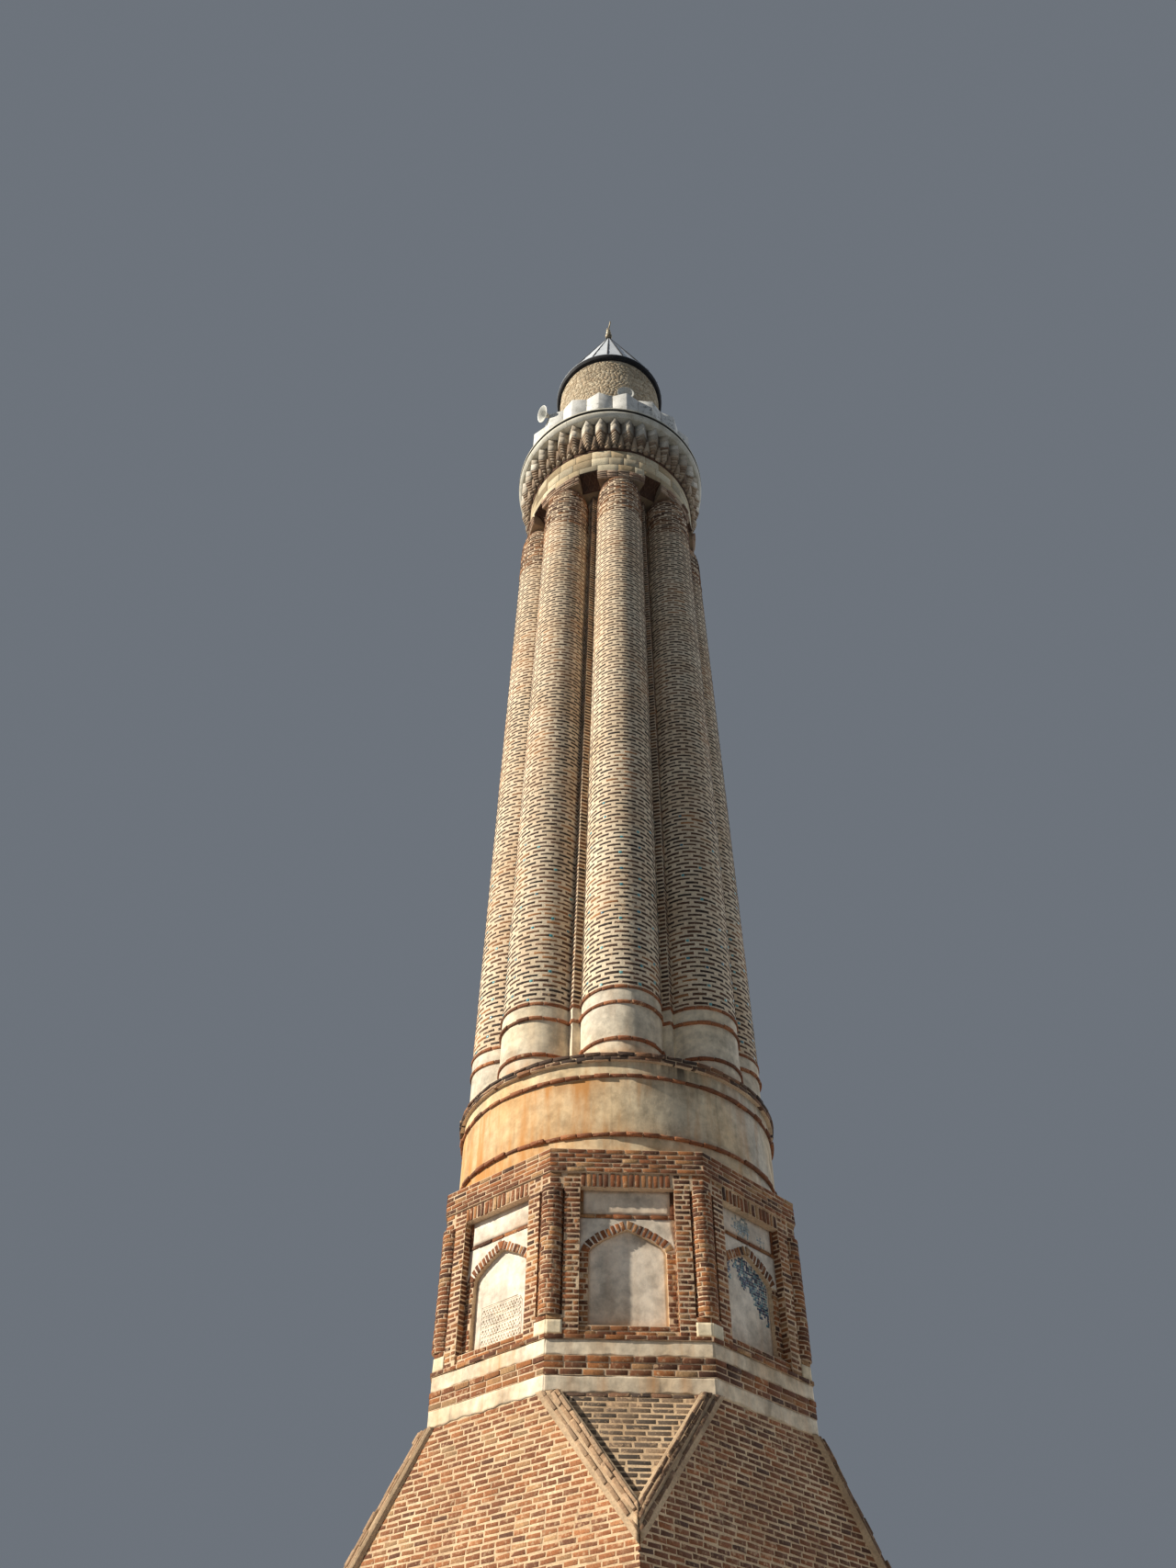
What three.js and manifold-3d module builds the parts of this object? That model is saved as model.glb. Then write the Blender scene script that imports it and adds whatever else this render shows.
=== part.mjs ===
// A brick minaret: square base with chamfered corners, octagonal stage with arched niches, plastered
// drum, shaft of eight half-round flutes, balcony on pointed corbels, upper shaft and lead cone roof.
// Millimetres, +Z up. The origin is the middle of the base, at ground level.
import * as THREE from "three";
import { mergeVertices } from "three/addons/utils/BufferGeometryUtils.js";
import Module from "manifold-3d";

const wasm = await Module();
wasm.setup();

// Plan sizes
const SIDES = 8;
const EIGHTH = (2 * Math.PI) / SIDES;
const APOTHEM = 2252;
const CORNER_RADIUS = APOTHEM / Math.cos(EIGHTH / 2);
const HALF_SIDE = APOTHEM * Math.tan(EIGHTH / 2);
const WELL_RADIUS = HALF_SIDE;
const SEAM = 0.3;

// Levels above the ground
const FLOOR_TOP = 150;
const CHAMFER_APEX = 4570;
const BASE_TOP = 5960;
const BRICK_BAND_BOTTOM = 6135;
const BRICK_BAND_TOP = 6340;
const SILL_BOTTOM = 6515;
const STAGE_BOTTOM = 6560;
const STAGE_TOP = 8480;
const CORNICE_TOP = 8780;
const COPING_BOTTOM = 10080;
const COPING_TOP = 10190;
const FOOT_STEP = 11030;
const SHAFT_BOTTOM = 11280;
const SHAFT_TOP = 25400;
const POCKET_TOP = 25760;
const CORBELS_BOTTOM = 26610;
const CORBEL_HEADS_BOTTOM = 27200;
const BALCONY_BOTTOM = 27700;
const FASCIA_TOP = 27870;
const LIP_BOTTOM = 27950;
const BALCONY_TOP = 28010;
const PARAPET_TOP = 29070;
const EAVE_BOTTOM = 32550;
const EAVE_TOP = 32700;
const CONE_TOP = 36930;
const FINIAL_TOP = 37935;

// Doorways
const DOOR_HALF_WIDTH = 380;
const DOOR_SPRING = 1500;
const DOOR_RISE = 380;
const BALCONY_DOOR_HALF_WIDTH = 320;
const BALCONY_DOOR_HEIGHT = 1750;

// Niches in the eight faces of the octagonal stage
const NICHE_HALF_WIDTH = 570;
const NICHE_DEPTH = 110;
const NICHE_TOP = 8300;
const PANEL_HALF_WIDTH = 463;
const PANEL_DEPTH = 70;
const PANEL_BOTTOM = 6680;
const PANEL_SPRING = 7540;
const PANEL_RISE = 290;
const COLONNETTE_RADIUS = 135;
const COLONNETTE_CENTRE = 2335;
const COLONNETTE_BOTTOM = 6780;
const COLONNETTE_TOP = 8280;
const CORNER_CUT_HALF = 165;
const CORNER_CUT_DEPTH = 2270;

// Drum, flutes and neck
const DRUM_RADIUS = 2210;
const STRING_RADIUS = 2260;
const STRING_HEIGHT = 45;
const LOWER_STRING = 9003;
const UPPER_STRING = 9840;
const COPING_RADIUS = 2268;
const FLUTE_STEPS = 18;
const FOOT_FLUTES = { centre: 1595, radius: 583, tip: 1822 };
const LOWEST_FLUTES = { centre: 1614, radius: 574, tip: 1825 };
const HIGHEST_FLUTES = { centre: 1597, radius: 485, tip: 1530 };
const SHAFT_TWIST = (4.5 * Math.PI) / 180;
const SHAFT_LEVELS = [SHAFT_BOTTOM, 13250, 15280, 17310, 19340, 21370, 23400, 24800, 25150, SHAFT_TOP];
const SHOULDERS = new Map([[25150, 0.985], [SHAFT_TOP, 0.952]]);
const NECK_RADIUS = 1950;
const POCKET_WIDTH = 440;
const POCKET_DEPTH = 330;

// Balcony and upper shaft
const CORBEL_COUNT = 40;
const FIRST_CORBEL = (0.1 * Math.PI) / 180;
const CORBEL_TIP = 2225;
const CORBEL_VALLEY = 2060;
const CORBEL_FOOT_TIP = 2010;
const CORBEL_FOOT_VALLEY = 1945;
const BALCONY_RADIUS = 2305;
const BALCONY_NECK = 2255;
const BALCONY_FASCIA = 2290;
const BALCONY_SOFFIT = 2240;
const FOLDS = 20;
const FIRST_FOLD = (-1 * Math.PI) / 180;
const FOLD_TIP = 2192;
const FOLD_VALLEY = 2094;
const PARAPET_THICKNESS = 90;
const UPPER_SHAFT_RADIUS = 1360;
const EAVE_RADIUS = 1478;
const CONE_RADIUS = 1462;
const ROOF_SEAMS = 22;
const FIRST_SEAM = (40.6 * Math.PI) / 180;

const brick = new THREE.MeshStandardMaterial({ color: 0xa5694b, roughness: 0.92, metalness: 0 });
const plaster = new THREE.MeshStandardMaterial({ color: 0xe2d2b4, roughness: 0.9, metalness: 0 });
const stone = new THREE.MeshStandardMaterial({ color: 0xc9b88e, roughness: 0.88, metalness: 0 });
const marble = new THREE.MeshStandardMaterial({ color: 0xdfdcd3, roughness: 0.7, metalness: 0 });
const lead = new THREE.MeshStandardMaterial({ color: 0xb9bcc0, roughness: 0.55, metalness: 0.4 });
const gilt = new THREE.MeshStandardMaterial({ color: 0xb99a4c, roughness: 0.45, metalness: 0.9 });
const enamel = new THREE.MeshStandardMaterial({ color: 0xb9bab5, roughness: 0.5, metalness: 0.2 });

const tower = new THREE.Group();

// Closed geometry to a solid that can be joined and cut
function solidOf(geometry) {
  const bare = geometry.clone();
  bare.deleteAttribute("normal");
  bare.deleteAttribute("uv");
  const merged = mergeVertices(bare, 1e-3);
  return new wasm.Manifold(new wasm.Mesh({
    numProp: 3,
    vertProperties: new Float32Array(merged.attributes.position.array),
    triVerts: new Uint32Array(merged.index.array),
  }));
}

// A solid back to geometry
function geometryOf(solid) {
  const mesh = solid.getMesh();
  const geometry = new THREE.BufferGeometry();
  geometry.setAttribute("position", new THREE.BufferAttribute(mesh.vertProperties, 3));
  geometry.setIndex(new THREE.BufferAttribute(mesh.triVerts, 1));
  return geometry;
}

function cut(geometry, ...tools) {
  return geometryOf(tools.reduce((left, tool) => left.subtract(solidOf(tool)), solidOf(geometry)));
}

function join(geometry, ...others) {
  return geometryOf(others.reduce((whole, other) => whole.add(solidOf(other)), solidOf(geometry)));
}

function addPart(name, geometry, material, turn = 0) {
  const part = new THREE.Mesh(geometry, material);
  part.name = name;
  part.rotation.z = turn;
  tower.add(part);
}

function polar(radius, angle) {
  return new THREE.Vector2(radius * Math.cos(angle), radius * Math.sin(angle));
}

// Upright prism between two levels
function prism(points, bottom, top, hole) {
  const shape = new THREE.Shape(points);
  if (hole) shape.holes.push(new THREE.Path(hole));
  const geometry = new THREE.ExtrudeGeometry(shape, { depth: top - bottom, bevelEnabled: false });
  return geometry.translate(0, 0, bottom);
}

// Prism of an outline drawn in a vertical plane that faces +X, from one distance out to another
function facePrism(shape, inner, outer) {
  const options = { depth: outer - inner, bevelEnabled: false, curveSegments: 8 };
  const geometry = new THREE.ExtrudeGeometry(shape, options);
  geometry.rotateX(Math.PI / 2);
  geometry.rotateZ(Math.PI / 2);
  return geometry.translate(inner, 0, 0);
}

function box(xLow, xHigh, yLow, yHigh, bottom, top) {
  const geometry = new THREE.BoxGeometry(xHigh - xLow, yHigh - yLow, top - bottom);
  return geometry.translate((xLow + xHigh) / 2, (yLow + yHigh) / 2, (bottom + top) / 2);
}

function regularPolygon(count, radius, firstAngle = 0) {
  return Array.from({ length: count }, (_, i) => polar(radius, firstAngle + (2 * Math.PI * i) / count));
}

const wellOutline = regularPolygon(3 * SIDES, WELL_RADIUS, EIGHTH / 2);

function ring(outline, bottom, top) {
  return prism(outline, bottom, top, wellOutline);
}

function octagon(apothem) {
  return regularPolygon(SIDES, apothem / Math.cos(EIGHTH / 2), EIGHTH / 2);
}

// Opening with straight jambs and a pointed arch
function pointedArch(halfWidth, bottom, spring, rise) {
  const shape = new THREE.Shape();
  shape.moveTo(-halfWidth, bottom);
  shape.lineTo(halfWidth, bottom);
  shape.lineTo(halfWidth, spring);
  const top = spring + rise;
  const haunch = spring + rise * 0.3;
  const crown = spring + rise * 0.66;
  const inward = halfWidth * 0.5;
  shape.bezierCurveTo(halfWidth, haunch, inward, crown, 0, top);
  shape.bezierCurveTo(-inward, crown, -halfWidth, haunch, -halfWidth, spring);
  return shape;
}

// Square base

// The wedge above a corner's sloping triangle, set out from the triangle by a clearance
function cornerWedge(corner, clearance = 0) {
  const profile = new THREE.Shape();
  const far = APOTHEM * 2;
  const slope = (BASE_TOP - CHAMFER_APEX) / (APOTHEM * (Math.SQRT2 - 1));
  const start = APOTHEM + clearance;
  profile.moveTo(start, BASE_TOP + 10);
  profile.lineTo(start, BASE_TOP);
  profile.lineTo(start + far, BASE_TOP - slope * far);
  profile.lineTo(start + far, BASE_TOP + 10);
  const wedge = new THREE.ExtrudeGeometry(profile, { depth: 2 * far, bevelEnabled: false });
  wedge.rotateX(Math.PI / 2);
  wedge.translate(0, far, 0);
  return wedge.rotateZ(EIGHTH + (corner * Math.PI) / 2);
}

function addBaseWalls() {
  const inner = HALF_SIDE;
  const outer = APOTHEM;
  const south = box(-outer, outer, -outer, -inner, 0, BASE_TOP);
  addPart("base_wall_south", cut(south, cornerWedge(2), cornerWedge(3)), brick);
  addPart("base_wall_east", box(inner, outer, -inner, inner, 0, BASE_TOP), brick);
  addPart("base_wall_west", box(-outer, -inner, -inner, inner, 0, BASE_TOP), brick);
  const northEast = box(DOOR_HALF_WIDTH, outer, inner, outer, 0, BASE_TOP);
  addPart("base_wall_north_east", cut(northEast, cornerWedge(0)), brick);
  const northWest = box(-outer, -DOOR_HALF_WIDTH, inner, outer, 0, BASE_TOP);
  addPart("base_wall_north_west", cut(northWest, cornerWedge(1)), brick);
  const head = box(-DOOR_HALF_WIDTH, DOOR_HALF_WIDTH, inner, outer, DOOR_SPRING, BASE_TOP);
  const archShape = pointedArch(DOOR_HALF_WIDTH - 40, DOOR_SPRING - 100, DOOR_SPRING, DOOR_RISE);
  const arch = facePrism(archShape, 0, 2 * outer).rotateZ(Math.PI / 2);
  addPart("base_wall_over_doorway", cut(head, arch), brick);
}

function addGroundFloor() {
  const threshold = APOTHEM;
  const outline = [
    [-HALF_SIDE, -HALF_SIDE], [HALF_SIDE, -HALF_SIDE], [HALF_SIDE, HALF_SIDE], [DOOR_HALF_WIDTH, HALF_SIDE],
    [DOOR_HALF_WIDTH, threshold], [-DOOR_HALF_WIDTH, threshold], [-DOOR_HALF_WIDTH, HALF_SIDE],
    [-HALF_SIDE, HALF_SIDE],
  ].map(([x, y]) => new THREE.Vector2(x, y));
  addPart("ground_floor", prism(outline, 0, FLOOR_TOP), stone);
}

// Two ribs that run down the slanting edges of a corner triangle and meet on the corner
function addCornerMouldings() {
  const width = 150;
  const rise = 60;
  const reach = APOTHEM + rise;
  const far = 2 * APOTHEM;
  const foot = CHAMFER_APEX - 150;
  const apex = new THREE.Vector3(APOTHEM, APOTHEM, CHAMFER_APEX);
  const slopeLean = (Math.SQRT2 * (Math.SQRT2 - 1) * APOTHEM) / (BASE_TOP - CHAMFER_APEX);
  const sides = [
    { top: new THREE.Vector3(APOTHEM, HALF_SIDE, BASE_TOP), wallNormal: new THREE.Vector3(1, 0, 0) },
    { top: new THREE.Vector3(HALF_SIDE, APOTHEM, BASE_TOP), wallNormal: new THREE.Vector3(0, 1, 0) },
  ];
  const swollen = prism(regularPolygon(4, (APOTHEM + SEAM) * Math.SQRT2, Math.PI / 4), 0, BASE_TOP + 100);
  const body = cut(swollen, cornerWedge(0, SEAM));
  const ribs = sides.map(({ top, wallNormal }) => {
    const along = top.clone().sub(apex);
    const bar = new THREE.BoxGeometry(width, 2 * rise, along.length() * 1.3);
    const slopeNormal = new THREE.Vector3(1, 1, slopeLean).normalize();
    const outward = wallNormal.clone().add(slopeNormal).normalize();
    const up = along.clone().normalize();
    const across = new THREE.Vector3().crossVectors(outward, up).normalize();
    const frame = new THREE.Matrix4().makeBasis(across, outward, up);
    frame.setPosition(apex.clone().lerp(top, 0.5));
    return bar.applyMatrix4(frame);
  });
  const above = box(0, far, 0, far, BASE_TOP, BASE_TOP + 1000);
  const below = box(0, far, 0, far, 0, foot);
  const beyondX = box(reach, far, -far, far, 0, BASE_TOP + 1000);
  const beyondY = box(-far, far, reach, far, 0, BASE_TOP + 1000);
  const geometry = cut(join(ribs[0], ribs[1]), body, above, below, beyondX, beyondY);
  ["north_east", "north_west", "south_west", "south_east"].forEach((name, corner) => {
    addPart(`corner_moulding_${name}`, geometry, brick, (corner * Math.PI) / 2);
  });
}

// Bands between the base and the octagonal stage
function addBands() {
  addPart("lower_plaster_band", ring(octagon(APOTHEM), BASE_TOP, BRICK_BAND_BOTTOM), plaster);
  addPart("brick_band", ring(octagon(APOTHEM + 14), BRICK_BAND_BOTTOM, BRICK_BAND_TOP), brick);
  addPart("upper_plaster_band", ring(octagon(APOTHEM), BRICK_BAND_TOP, SILL_BOTTOM), plaster);
  addPart("sill_course", ring(octagon(APOTHEM + 26), SILL_BOTTOM, STAGE_BOTTOM), brick);
}

// Octagonal stage: each wall has a niche, and carries the colonnette at one of its corners
function addStageWalls() {
  const half = EIGHTH / 2 - SEAM / 2 / WELL_RADIUS;
  const innerArc = [-3, -1, 1, 3].map((i) => polar(WELL_RADIUS, (i * half) / 3)).reverse();
  const outline = [polar(CORNER_RADIUS, -half), polar(CORNER_RADIUS, half), ...innerArc];
  const block = prism(outline, STAGE_BOTTOM, STAGE_TOP);
  const nicheShape = new THREE.Shape([
    [-NICHE_HALF_WIDTH, STAGE_BOTTOM - 10], [NICHE_HALF_WIDTH, STAGE_BOTTOM - 10],
    [NICHE_HALF_WIDTH, NICHE_TOP], [-NICHE_HALF_WIDTH, NICHE_TOP],
  ].map(([x, y]) => new THREE.Vector2(x, y)));
  const niche = facePrism(nicheShape, APOTHEM - NICHE_DEPTH, APOTHEM + 100);
  const sill = box(APOTHEM - NICHE_DEPTH - 1, APOTHEM - 30, -NICHE_HALF_WIDTH - 1, NICHE_HALF_WIDTH + 1,
    STAGE_BOTTOM, PANEL_BOTTOM);
  const panelShape = pointedArch(PANEL_HALF_WIDTH, PANEL_BOTTOM, PANEL_SPRING, PANEL_RISE);
  const panel = facePrism(panelShape, APOTHEM - NICHE_DEPTH - PANEL_DEPTH, APOTHEM + 100);
  const column = (radius, angle) => {
    const height = COLONNETTE_TOP - COLONNETTE_BOTTOM;
    const geometry = new THREE.CylinderGeometry(radius, radius, height, 2 * SIDES);
    geometry.rotateX(Math.PI / 2);
    const place = polar(COLONNETTE_CENTRE, angle);
    return geometry.translate(place.x, place.y, (COLONNETTE_BOTTOM + COLONNETTE_TOP) / 2);
  };
  const cornerCut = (angle) => {
    const cutter = box(CORNER_CUT_DEPTH, CORNER_RADIUS + 400, -CORNER_CUT_HALF, CORNER_CUT_HALF,
      COLONNETTE_BOTTOM, COLONNETTE_TOP);
    return cutter.rotateZ(angle);
  };
  const bare = cut(block, niche, cornerCut(EIGHTH / 2), cornerCut(-EIGHTH / 2));
  const notched = cut(join(bare, sill), panel, column(COLONNETTE_RADIUS + SEAM, -EIGHTH / 2));
  const wall = join(notched, column(COLONNETTE_RADIUS, EIGHTH / 2));
  for (let k = 0; k < SIDES; k += 1) {
    addPart(`stage_wall_${k + 1}`, wall, brick, k * EIGHTH);
  }
}

// Drum: plastered, with thin brick strings and a brick coping
function lathe(profile, segments = 56, start = 0) {
  const outline = profile.map(([r, z]) => new THREE.Vector2(r, z));
  const geometry = new THREE.LatheGeometry(outline, segments, start, 2 * Math.PI);
  return geometry.rotateX(Math.PI / 2);
}

function addDrum() {
  const outer = [[DRUM_RADIUS, CORNICE_TOP]];
  for (const level of [LOWER_STRING, UPPER_STRING]) {
    outer.push([DRUM_RADIUS, level], [STRING_RADIUS, level]);
    outer.push([STRING_RADIUS, level + STRING_HEIGHT], [DRUM_RADIUS, level + STRING_HEIGHT]);
  }
  outer.push([DRUM_RADIUS, COPING_BOTTOM]);
  const inner = [[WELL_RADIUS, COPING_BOTTOM], [WELL_RADIUS, CORNICE_TOP]];
  addPart("octagon_cornice", ring(octagon(APOTHEM + 24), STAGE_TOP, CORNICE_TOP), brick);
  addPart("drum", lathe([...inner, ...outer, inner[0]]), plaster);
  addPart("drum_coping", ring(regularPolygon(56, COPING_RADIUS), COPING_BOTTOM, COPING_TOP), brick);
}

// Outline of the fluted shaft, turned by an angle. An arris between two flutes is a right angle in plan,
// whose faces run from its tip until they meet the flutes.
function flutedOutline({ centre, radius, tip }, turn = 0) {
  const point = polar(tip, EIGHTH / 2);
  const along = polar(1, EIGHTH / 2 + Math.PI + Math.PI / 4);
  const fromCentre = new THREE.Vector2(point.x - centre, point.y);
  const slope = fromCentre.dot(along);
  const length = -slope - Math.sqrt(slope ** 2 - fromCentre.lengthSq() + radius ** 2);
  const meeting = fromCentre.clone().addScaledVector(along, length);
  const reach = Math.atan2(meeting.y, meeting.x);
  const outline = [];
  for (let k = 0; k < SIDES; k += 1) {
    for (let i = 0; i <= FLUTE_STEPS; i += 1) {
      const onFlute = polar(radius, reach * ((2 * i) / FLUTE_STEPS - 1)).add(new THREE.Vector2(centre, 0));
      outline.push(onFlute.rotateAround(new THREE.Vector2(), turn + k * EIGHTH));
    }
    outline.push(polar(tip, turn + (k + 0.5) * EIGHTH));
  }
  return outline;
}

// Body through a stack of outlines with the same number of points, around the open well
function stack(outlines, levels) {
  const position = [];
  const index = [];
  const count = outlines[0].length;
  const wellCount = wellOutline.length;
  outlines.forEach((outline, level) => outline.forEach((p) => position.push(p.x, p.y, levels[level])));
  const wellStart = count * outlines.length;
  const ends = [levels[0], levels[levels.length - 1]];
  ends.forEach((z) => wellOutline.forEach((p) => position.push(p.x, p.y, z)));
  const wall = (lower, upper, total, flip) => {
    for (let i = 0; i < total; i += 1) {
      const next = (i + 1) % total;
      const [a, b, c, d] = [lower + i, lower + next, upper + next, upper + i];
      if (flip) index.push(a, c, b, a, d, c);
      else index.push(a, b, c, a, c, d);
    }
  };
  for (let level = 0; level + 1 < outlines.length; level += 1) {
    wall(level * count, (level + 1) * count, count, false);
  }
  wall(wellStart, wellStart + wellCount, wellCount, true);
  ends.forEach((z, end) => {
    const outline = outlines[end ? outlines.length - 1 : 0];
    const outerStart = end ? (outlines.length - 1) * count : 0;
    const innerStart = wellStart + end * wellCount;
    const pick = (i) => (i < count ? outerStart + i : innerStart + i - count);
    for (const [a, b, c] of THREE.ShapeUtils.triangulateShape(outline, [wellOutline])) {
      if (end) index.push(pick(a), pick(b), pick(c));
      else index.push(pick(a), pick(c), pick(b));
    }
  });
  const geometry = new THREE.BufferGeometry();
  geometry.setAttribute("position", new THREE.Float32BufferAttribute(position, 3));
  geometry.setIndex(index);
  return geometry;
}

// The shaft tapers, and its flutes turn slightly on the way up; their tops have rounded shoulders
function addShaft() {
  const outlines = SHAFT_LEVELS.map((level) => {
    const share = (level - SHAFT_BOTTOM) / (SHAFT_TOP - SHAFT_BOTTOM);
    const mix = (key) => LOWEST_FLUTES[key] + (HIGHEST_FLUTES[key] - LOWEST_FLUTES[key]) * share;
    const flutes = { centre: mix("centre"), radius: mix("radius"), tip: mix("tip") };
    const shoulder = SHOULDERS.get(level) ?? 1;
    return flutedOutline(flutes, SHAFT_TWIST * share).map((p) => p.multiplyScalar(shoulder));
  });
  addPart("fluted_shaft", stack(outlines, SHAFT_LEVELS), brick);
}

function addFluteFeet() {
  const lower = ring(flutedOutline(FOOT_FLUTES), COPING_TOP, FOOT_STEP);
  const upper = ring(flutedOutline(LOWEST_FLUTES), FOOT_STEP, SHAFT_BOTTOM);
  addPart("flute_feet", join(lower, upper), plaster);
}

// Neck ring, with a pocket over each arris
function addNeck() {
  const pockets = [];
  for (let k = 0; k < SIDES; k += 1) {
    const pocket = box(NECK_RADIUS - POCKET_DEPTH, NECK_RADIUS + 200, -POCKET_WIDTH / 2, POCKET_WIDTH / 2,
      SHAFT_TOP - 10, POCKET_TOP);
    pockets.push(pocket.rotateZ(SHAFT_TWIST + (k + 0.5) * EIGHTH));
  }
  const neck = ring(regularPolygon(56, NECK_RADIUS), SHAFT_TOP, CORBELS_BOTTOM);
  addPart("neck_ring", cut(neck, ...pockets), stone);
}

// Zigzag ring of pointed folds
function star(count, tip, valley, first) {
  const step = Math.PI / count;
  return Array.from({ length: 2 * count }, (_, i) => polar(i % 2 ? valley : tip, first + step * i));
}

function addBalcony() {
  const headOutline = star(CORBEL_COUNT, CORBEL_TIP, CORBEL_VALLEY, FIRST_CORBEL);
  const heads = ring(headOutline, CORBEL_HEADS_BOTTOM, BALCONY_BOTTOM);
  const feetOutline = star(CORBEL_COUNT, CORBEL_TIP - 40, CORBEL_VALLEY - 10, FIRST_CORBEL);
  const feet = ring(feetOutline, CORBELS_BOTTOM, CORBEL_HEADS_BOTTOM);
  const place = feet.attributes.position;
  for (let i = 0; i < place.count; i += 1) {
    const radius = Math.hypot(place.getX(i), place.getY(i));
    if (radius > WELL_RADIUS + 1 && place.getZ(i) < CORBELS_BOTTOM + 1) {
      const target = radius > CORBEL_VALLEY ? CORBEL_FOOT_TIP : CORBEL_FOOT_VALLEY;
      place.setXY(i, (place.getX(i) * target) / radius, (place.getY(i) * target) / radius);
    }
  }
  addPart("corbel_ring", join(heads, feet), stone);
  const floor = [
    [WELL_RADIUS, BALCONY_TOP], [WELL_RADIUS, BALCONY_BOTTOM], [BALCONY_SOFFIT, BALCONY_BOTTOM],
    [BALCONY_FASCIA, BALCONY_BOTTOM + 90], [BALCONY_FASCIA, FASCIA_TOP],
    [BALCONY_NECK, FASCIA_TOP], [BALCONY_NECK, LIP_BOTTOM], [BALCONY_RADIUS, LIP_BOTTOM],
    [BALCONY_RADIUS, BALCONY_TOP], [WELL_RADIUS, BALCONY_TOP],
  ];
  addPart("balcony_floor", lathe(floor, 72), marble);
  const outside = star(FOLDS, FOLD_TIP, FOLD_VALLEY, FIRST_FOLD);
  const inside = star(FOLDS, FOLD_TIP - PARAPET_THICKNESS, FOLD_VALLEY - PARAPET_THICKNESS, FIRST_FOLD);
  addPart("parapet", prism(outside, BALCONY_TOP, PARAPET_TOP, inside), marble);
}

function addUpperShaft() {
  const wall = ring(regularPolygon(40, UPPER_SHAFT_RADIUS), BALCONY_TOP, EAVE_BOTTOM);
  const doorway = box(-BALCONY_DOOR_HALF_WIDTH, BALCONY_DOOR_HALF_WIDTH, 0, 2 * UPPER_SHAFT_RADIUS,
    BALCONY_TOP - 10, BALCONY_TOP + BALCONY_DOOR_HEIGHT);
  addPart("upper_shaft", cut(wall, doorway), stone);
}

function addRoof() {
  addPart("eave_ring", ring(regularPolygon(40, EAVE_RADIUS), EAVE_BOTTOM, EAVE_TOP), lead);
  const tip = 45;
  const lining = WELL_RADIUS + 250;
  const liningTop = CONE_TOP - 500;
  const shell = [
    [0, liningTop], [lining, EAVE_TOP], [CONE_RADIUS, EAVE_TOP], [tip, CONE_TOP], [0, CONE_TOP],
  ];
  addPart("cone_roof", lathe(shell, ROOF_SEAMS, FIRST_SEAM), lead);
  addPart("finial", join(lathe(finialProfile(), 14), crescentBlade()), gilt);
}

// Three knobs on a stem
function finialProfile() {
  const stem = 22;
  const stemTop = CONE_TOP + 710;
  const knobs = [{ middle: 160, radius: 105 }, { middle: 370, radius: 80 }, { middle: 540, radius: 60 }];
  const profile = [[0, CONE_TOP], [70, CONE_TOP]];
  for (const { middle, radius } of knobs) {
    for (const angle of [-60, -20, 20, 60]) {
      const tilt = (angle * Math.PI) / 180;
      const level = CONE_TOP + middle + radius * 0.8 * Math.sin(tilt);
      profile.push([stem + (radius - stem) * Math.cos(tilt), level]);
    }
    profile.push([stem, CONE_TOP + middle + radius]);
  }
  profile.push([stem, stemTop], [0, stemTop]);
  return profile;
}

// Crescent, open at the top
function crescentBlade() {
  const thickness = 24;
  const middle = CONE_TOP + 860;
  const upright = Math.PI / 2;
  const opening = 0.55;
  const innerOpening = opening * 0.9;
  const innerMiddle = middle + 15;
  const facing = (-28 * Math.PI) / 180;
  const reach = (FINIAL_TOP - middle) / Math.cos(opening);
  const shape = new THREE.Shape();
  shape.absarc(0, middle, reach, upright + opening, upright - opening + 2 * Math.PI, false);
  shape.absarc(0, innerMiddle, reach * 0.72, upright - innerOpening, upright + innerOpening, true);
  const options = { depth: thickness, bevelEnabled: false, curveSegments: 14 };
  const blade = new THREE.ExtrudeGeometry(shape, options);
  blade.rotateX(Math.PI / 2);
  blade.translate(0, thickness / 2, 0);
  return blade.rotateZ(facing);
}

// Horn loudspeakers: one on the parapet, one on a pole that stands on the balcony
function addLoudspeakers() {
  // Radius and distance along the horn, from the driver at the back to the rim and down the throat
  const horn = [
    [0, -150], [70, -150], [70, -60], [45, -50], [45, 20], [95, 110], [205, 185], [215, 200], [190, 200],
    [80, 120], [20, 30], [0, 30],
  ];
  const postHalf = 25;
  const degree = Math.PI / 180;
  const onParapet = {
    name: "loudspeaker_south", radius: FOLD_TIP - PARAPET_THICKNESS / 2, station: -93.5 * degree,
    bottom: PARAPET_TOP, centre: PARAPET_TOP + 105, facing: -108 * degree, dip: 20 * degree,
  };
  const onPole = {
    name: "loudspeaker_east", radius: 1840, station: -36 * degree,
    bottom: BALCONY_TOP, centre: PARAPET_TOP + 370, facing: -40 * degree, dip: 12 * degree,
  };
  for (const { name, radius, station, bottom, centre, facing, dip } of [onParapet, onPole]) {
    const foot = polar(radius, station);
    const bell = lathe(horn, 20);
    bell.rotateX(Math.PI / 2 + dip);
    bell.rotateZ(facing + Math.PI / 2);
    bell.translate(foot.x, foot.y, centre);
    const post = box(-postHalf, postHalf, -postHalf, postHalf, bottom, centre);
    post.rotateZ(station);
    post.translate(foot.x, foot.y, 0);
    addPart(name, join(bell, post), enamel);
  }
}

addGroundFloor();
addBaseWalls();
addCornerMouldings();
addBands();
addStageWalls();
addDrum();
addFluteFeet();
addShaft();
addNeck();
addBalcony();
addUpperShaft();
addRoof();
addLoudspeakers();

export default tower;
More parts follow.
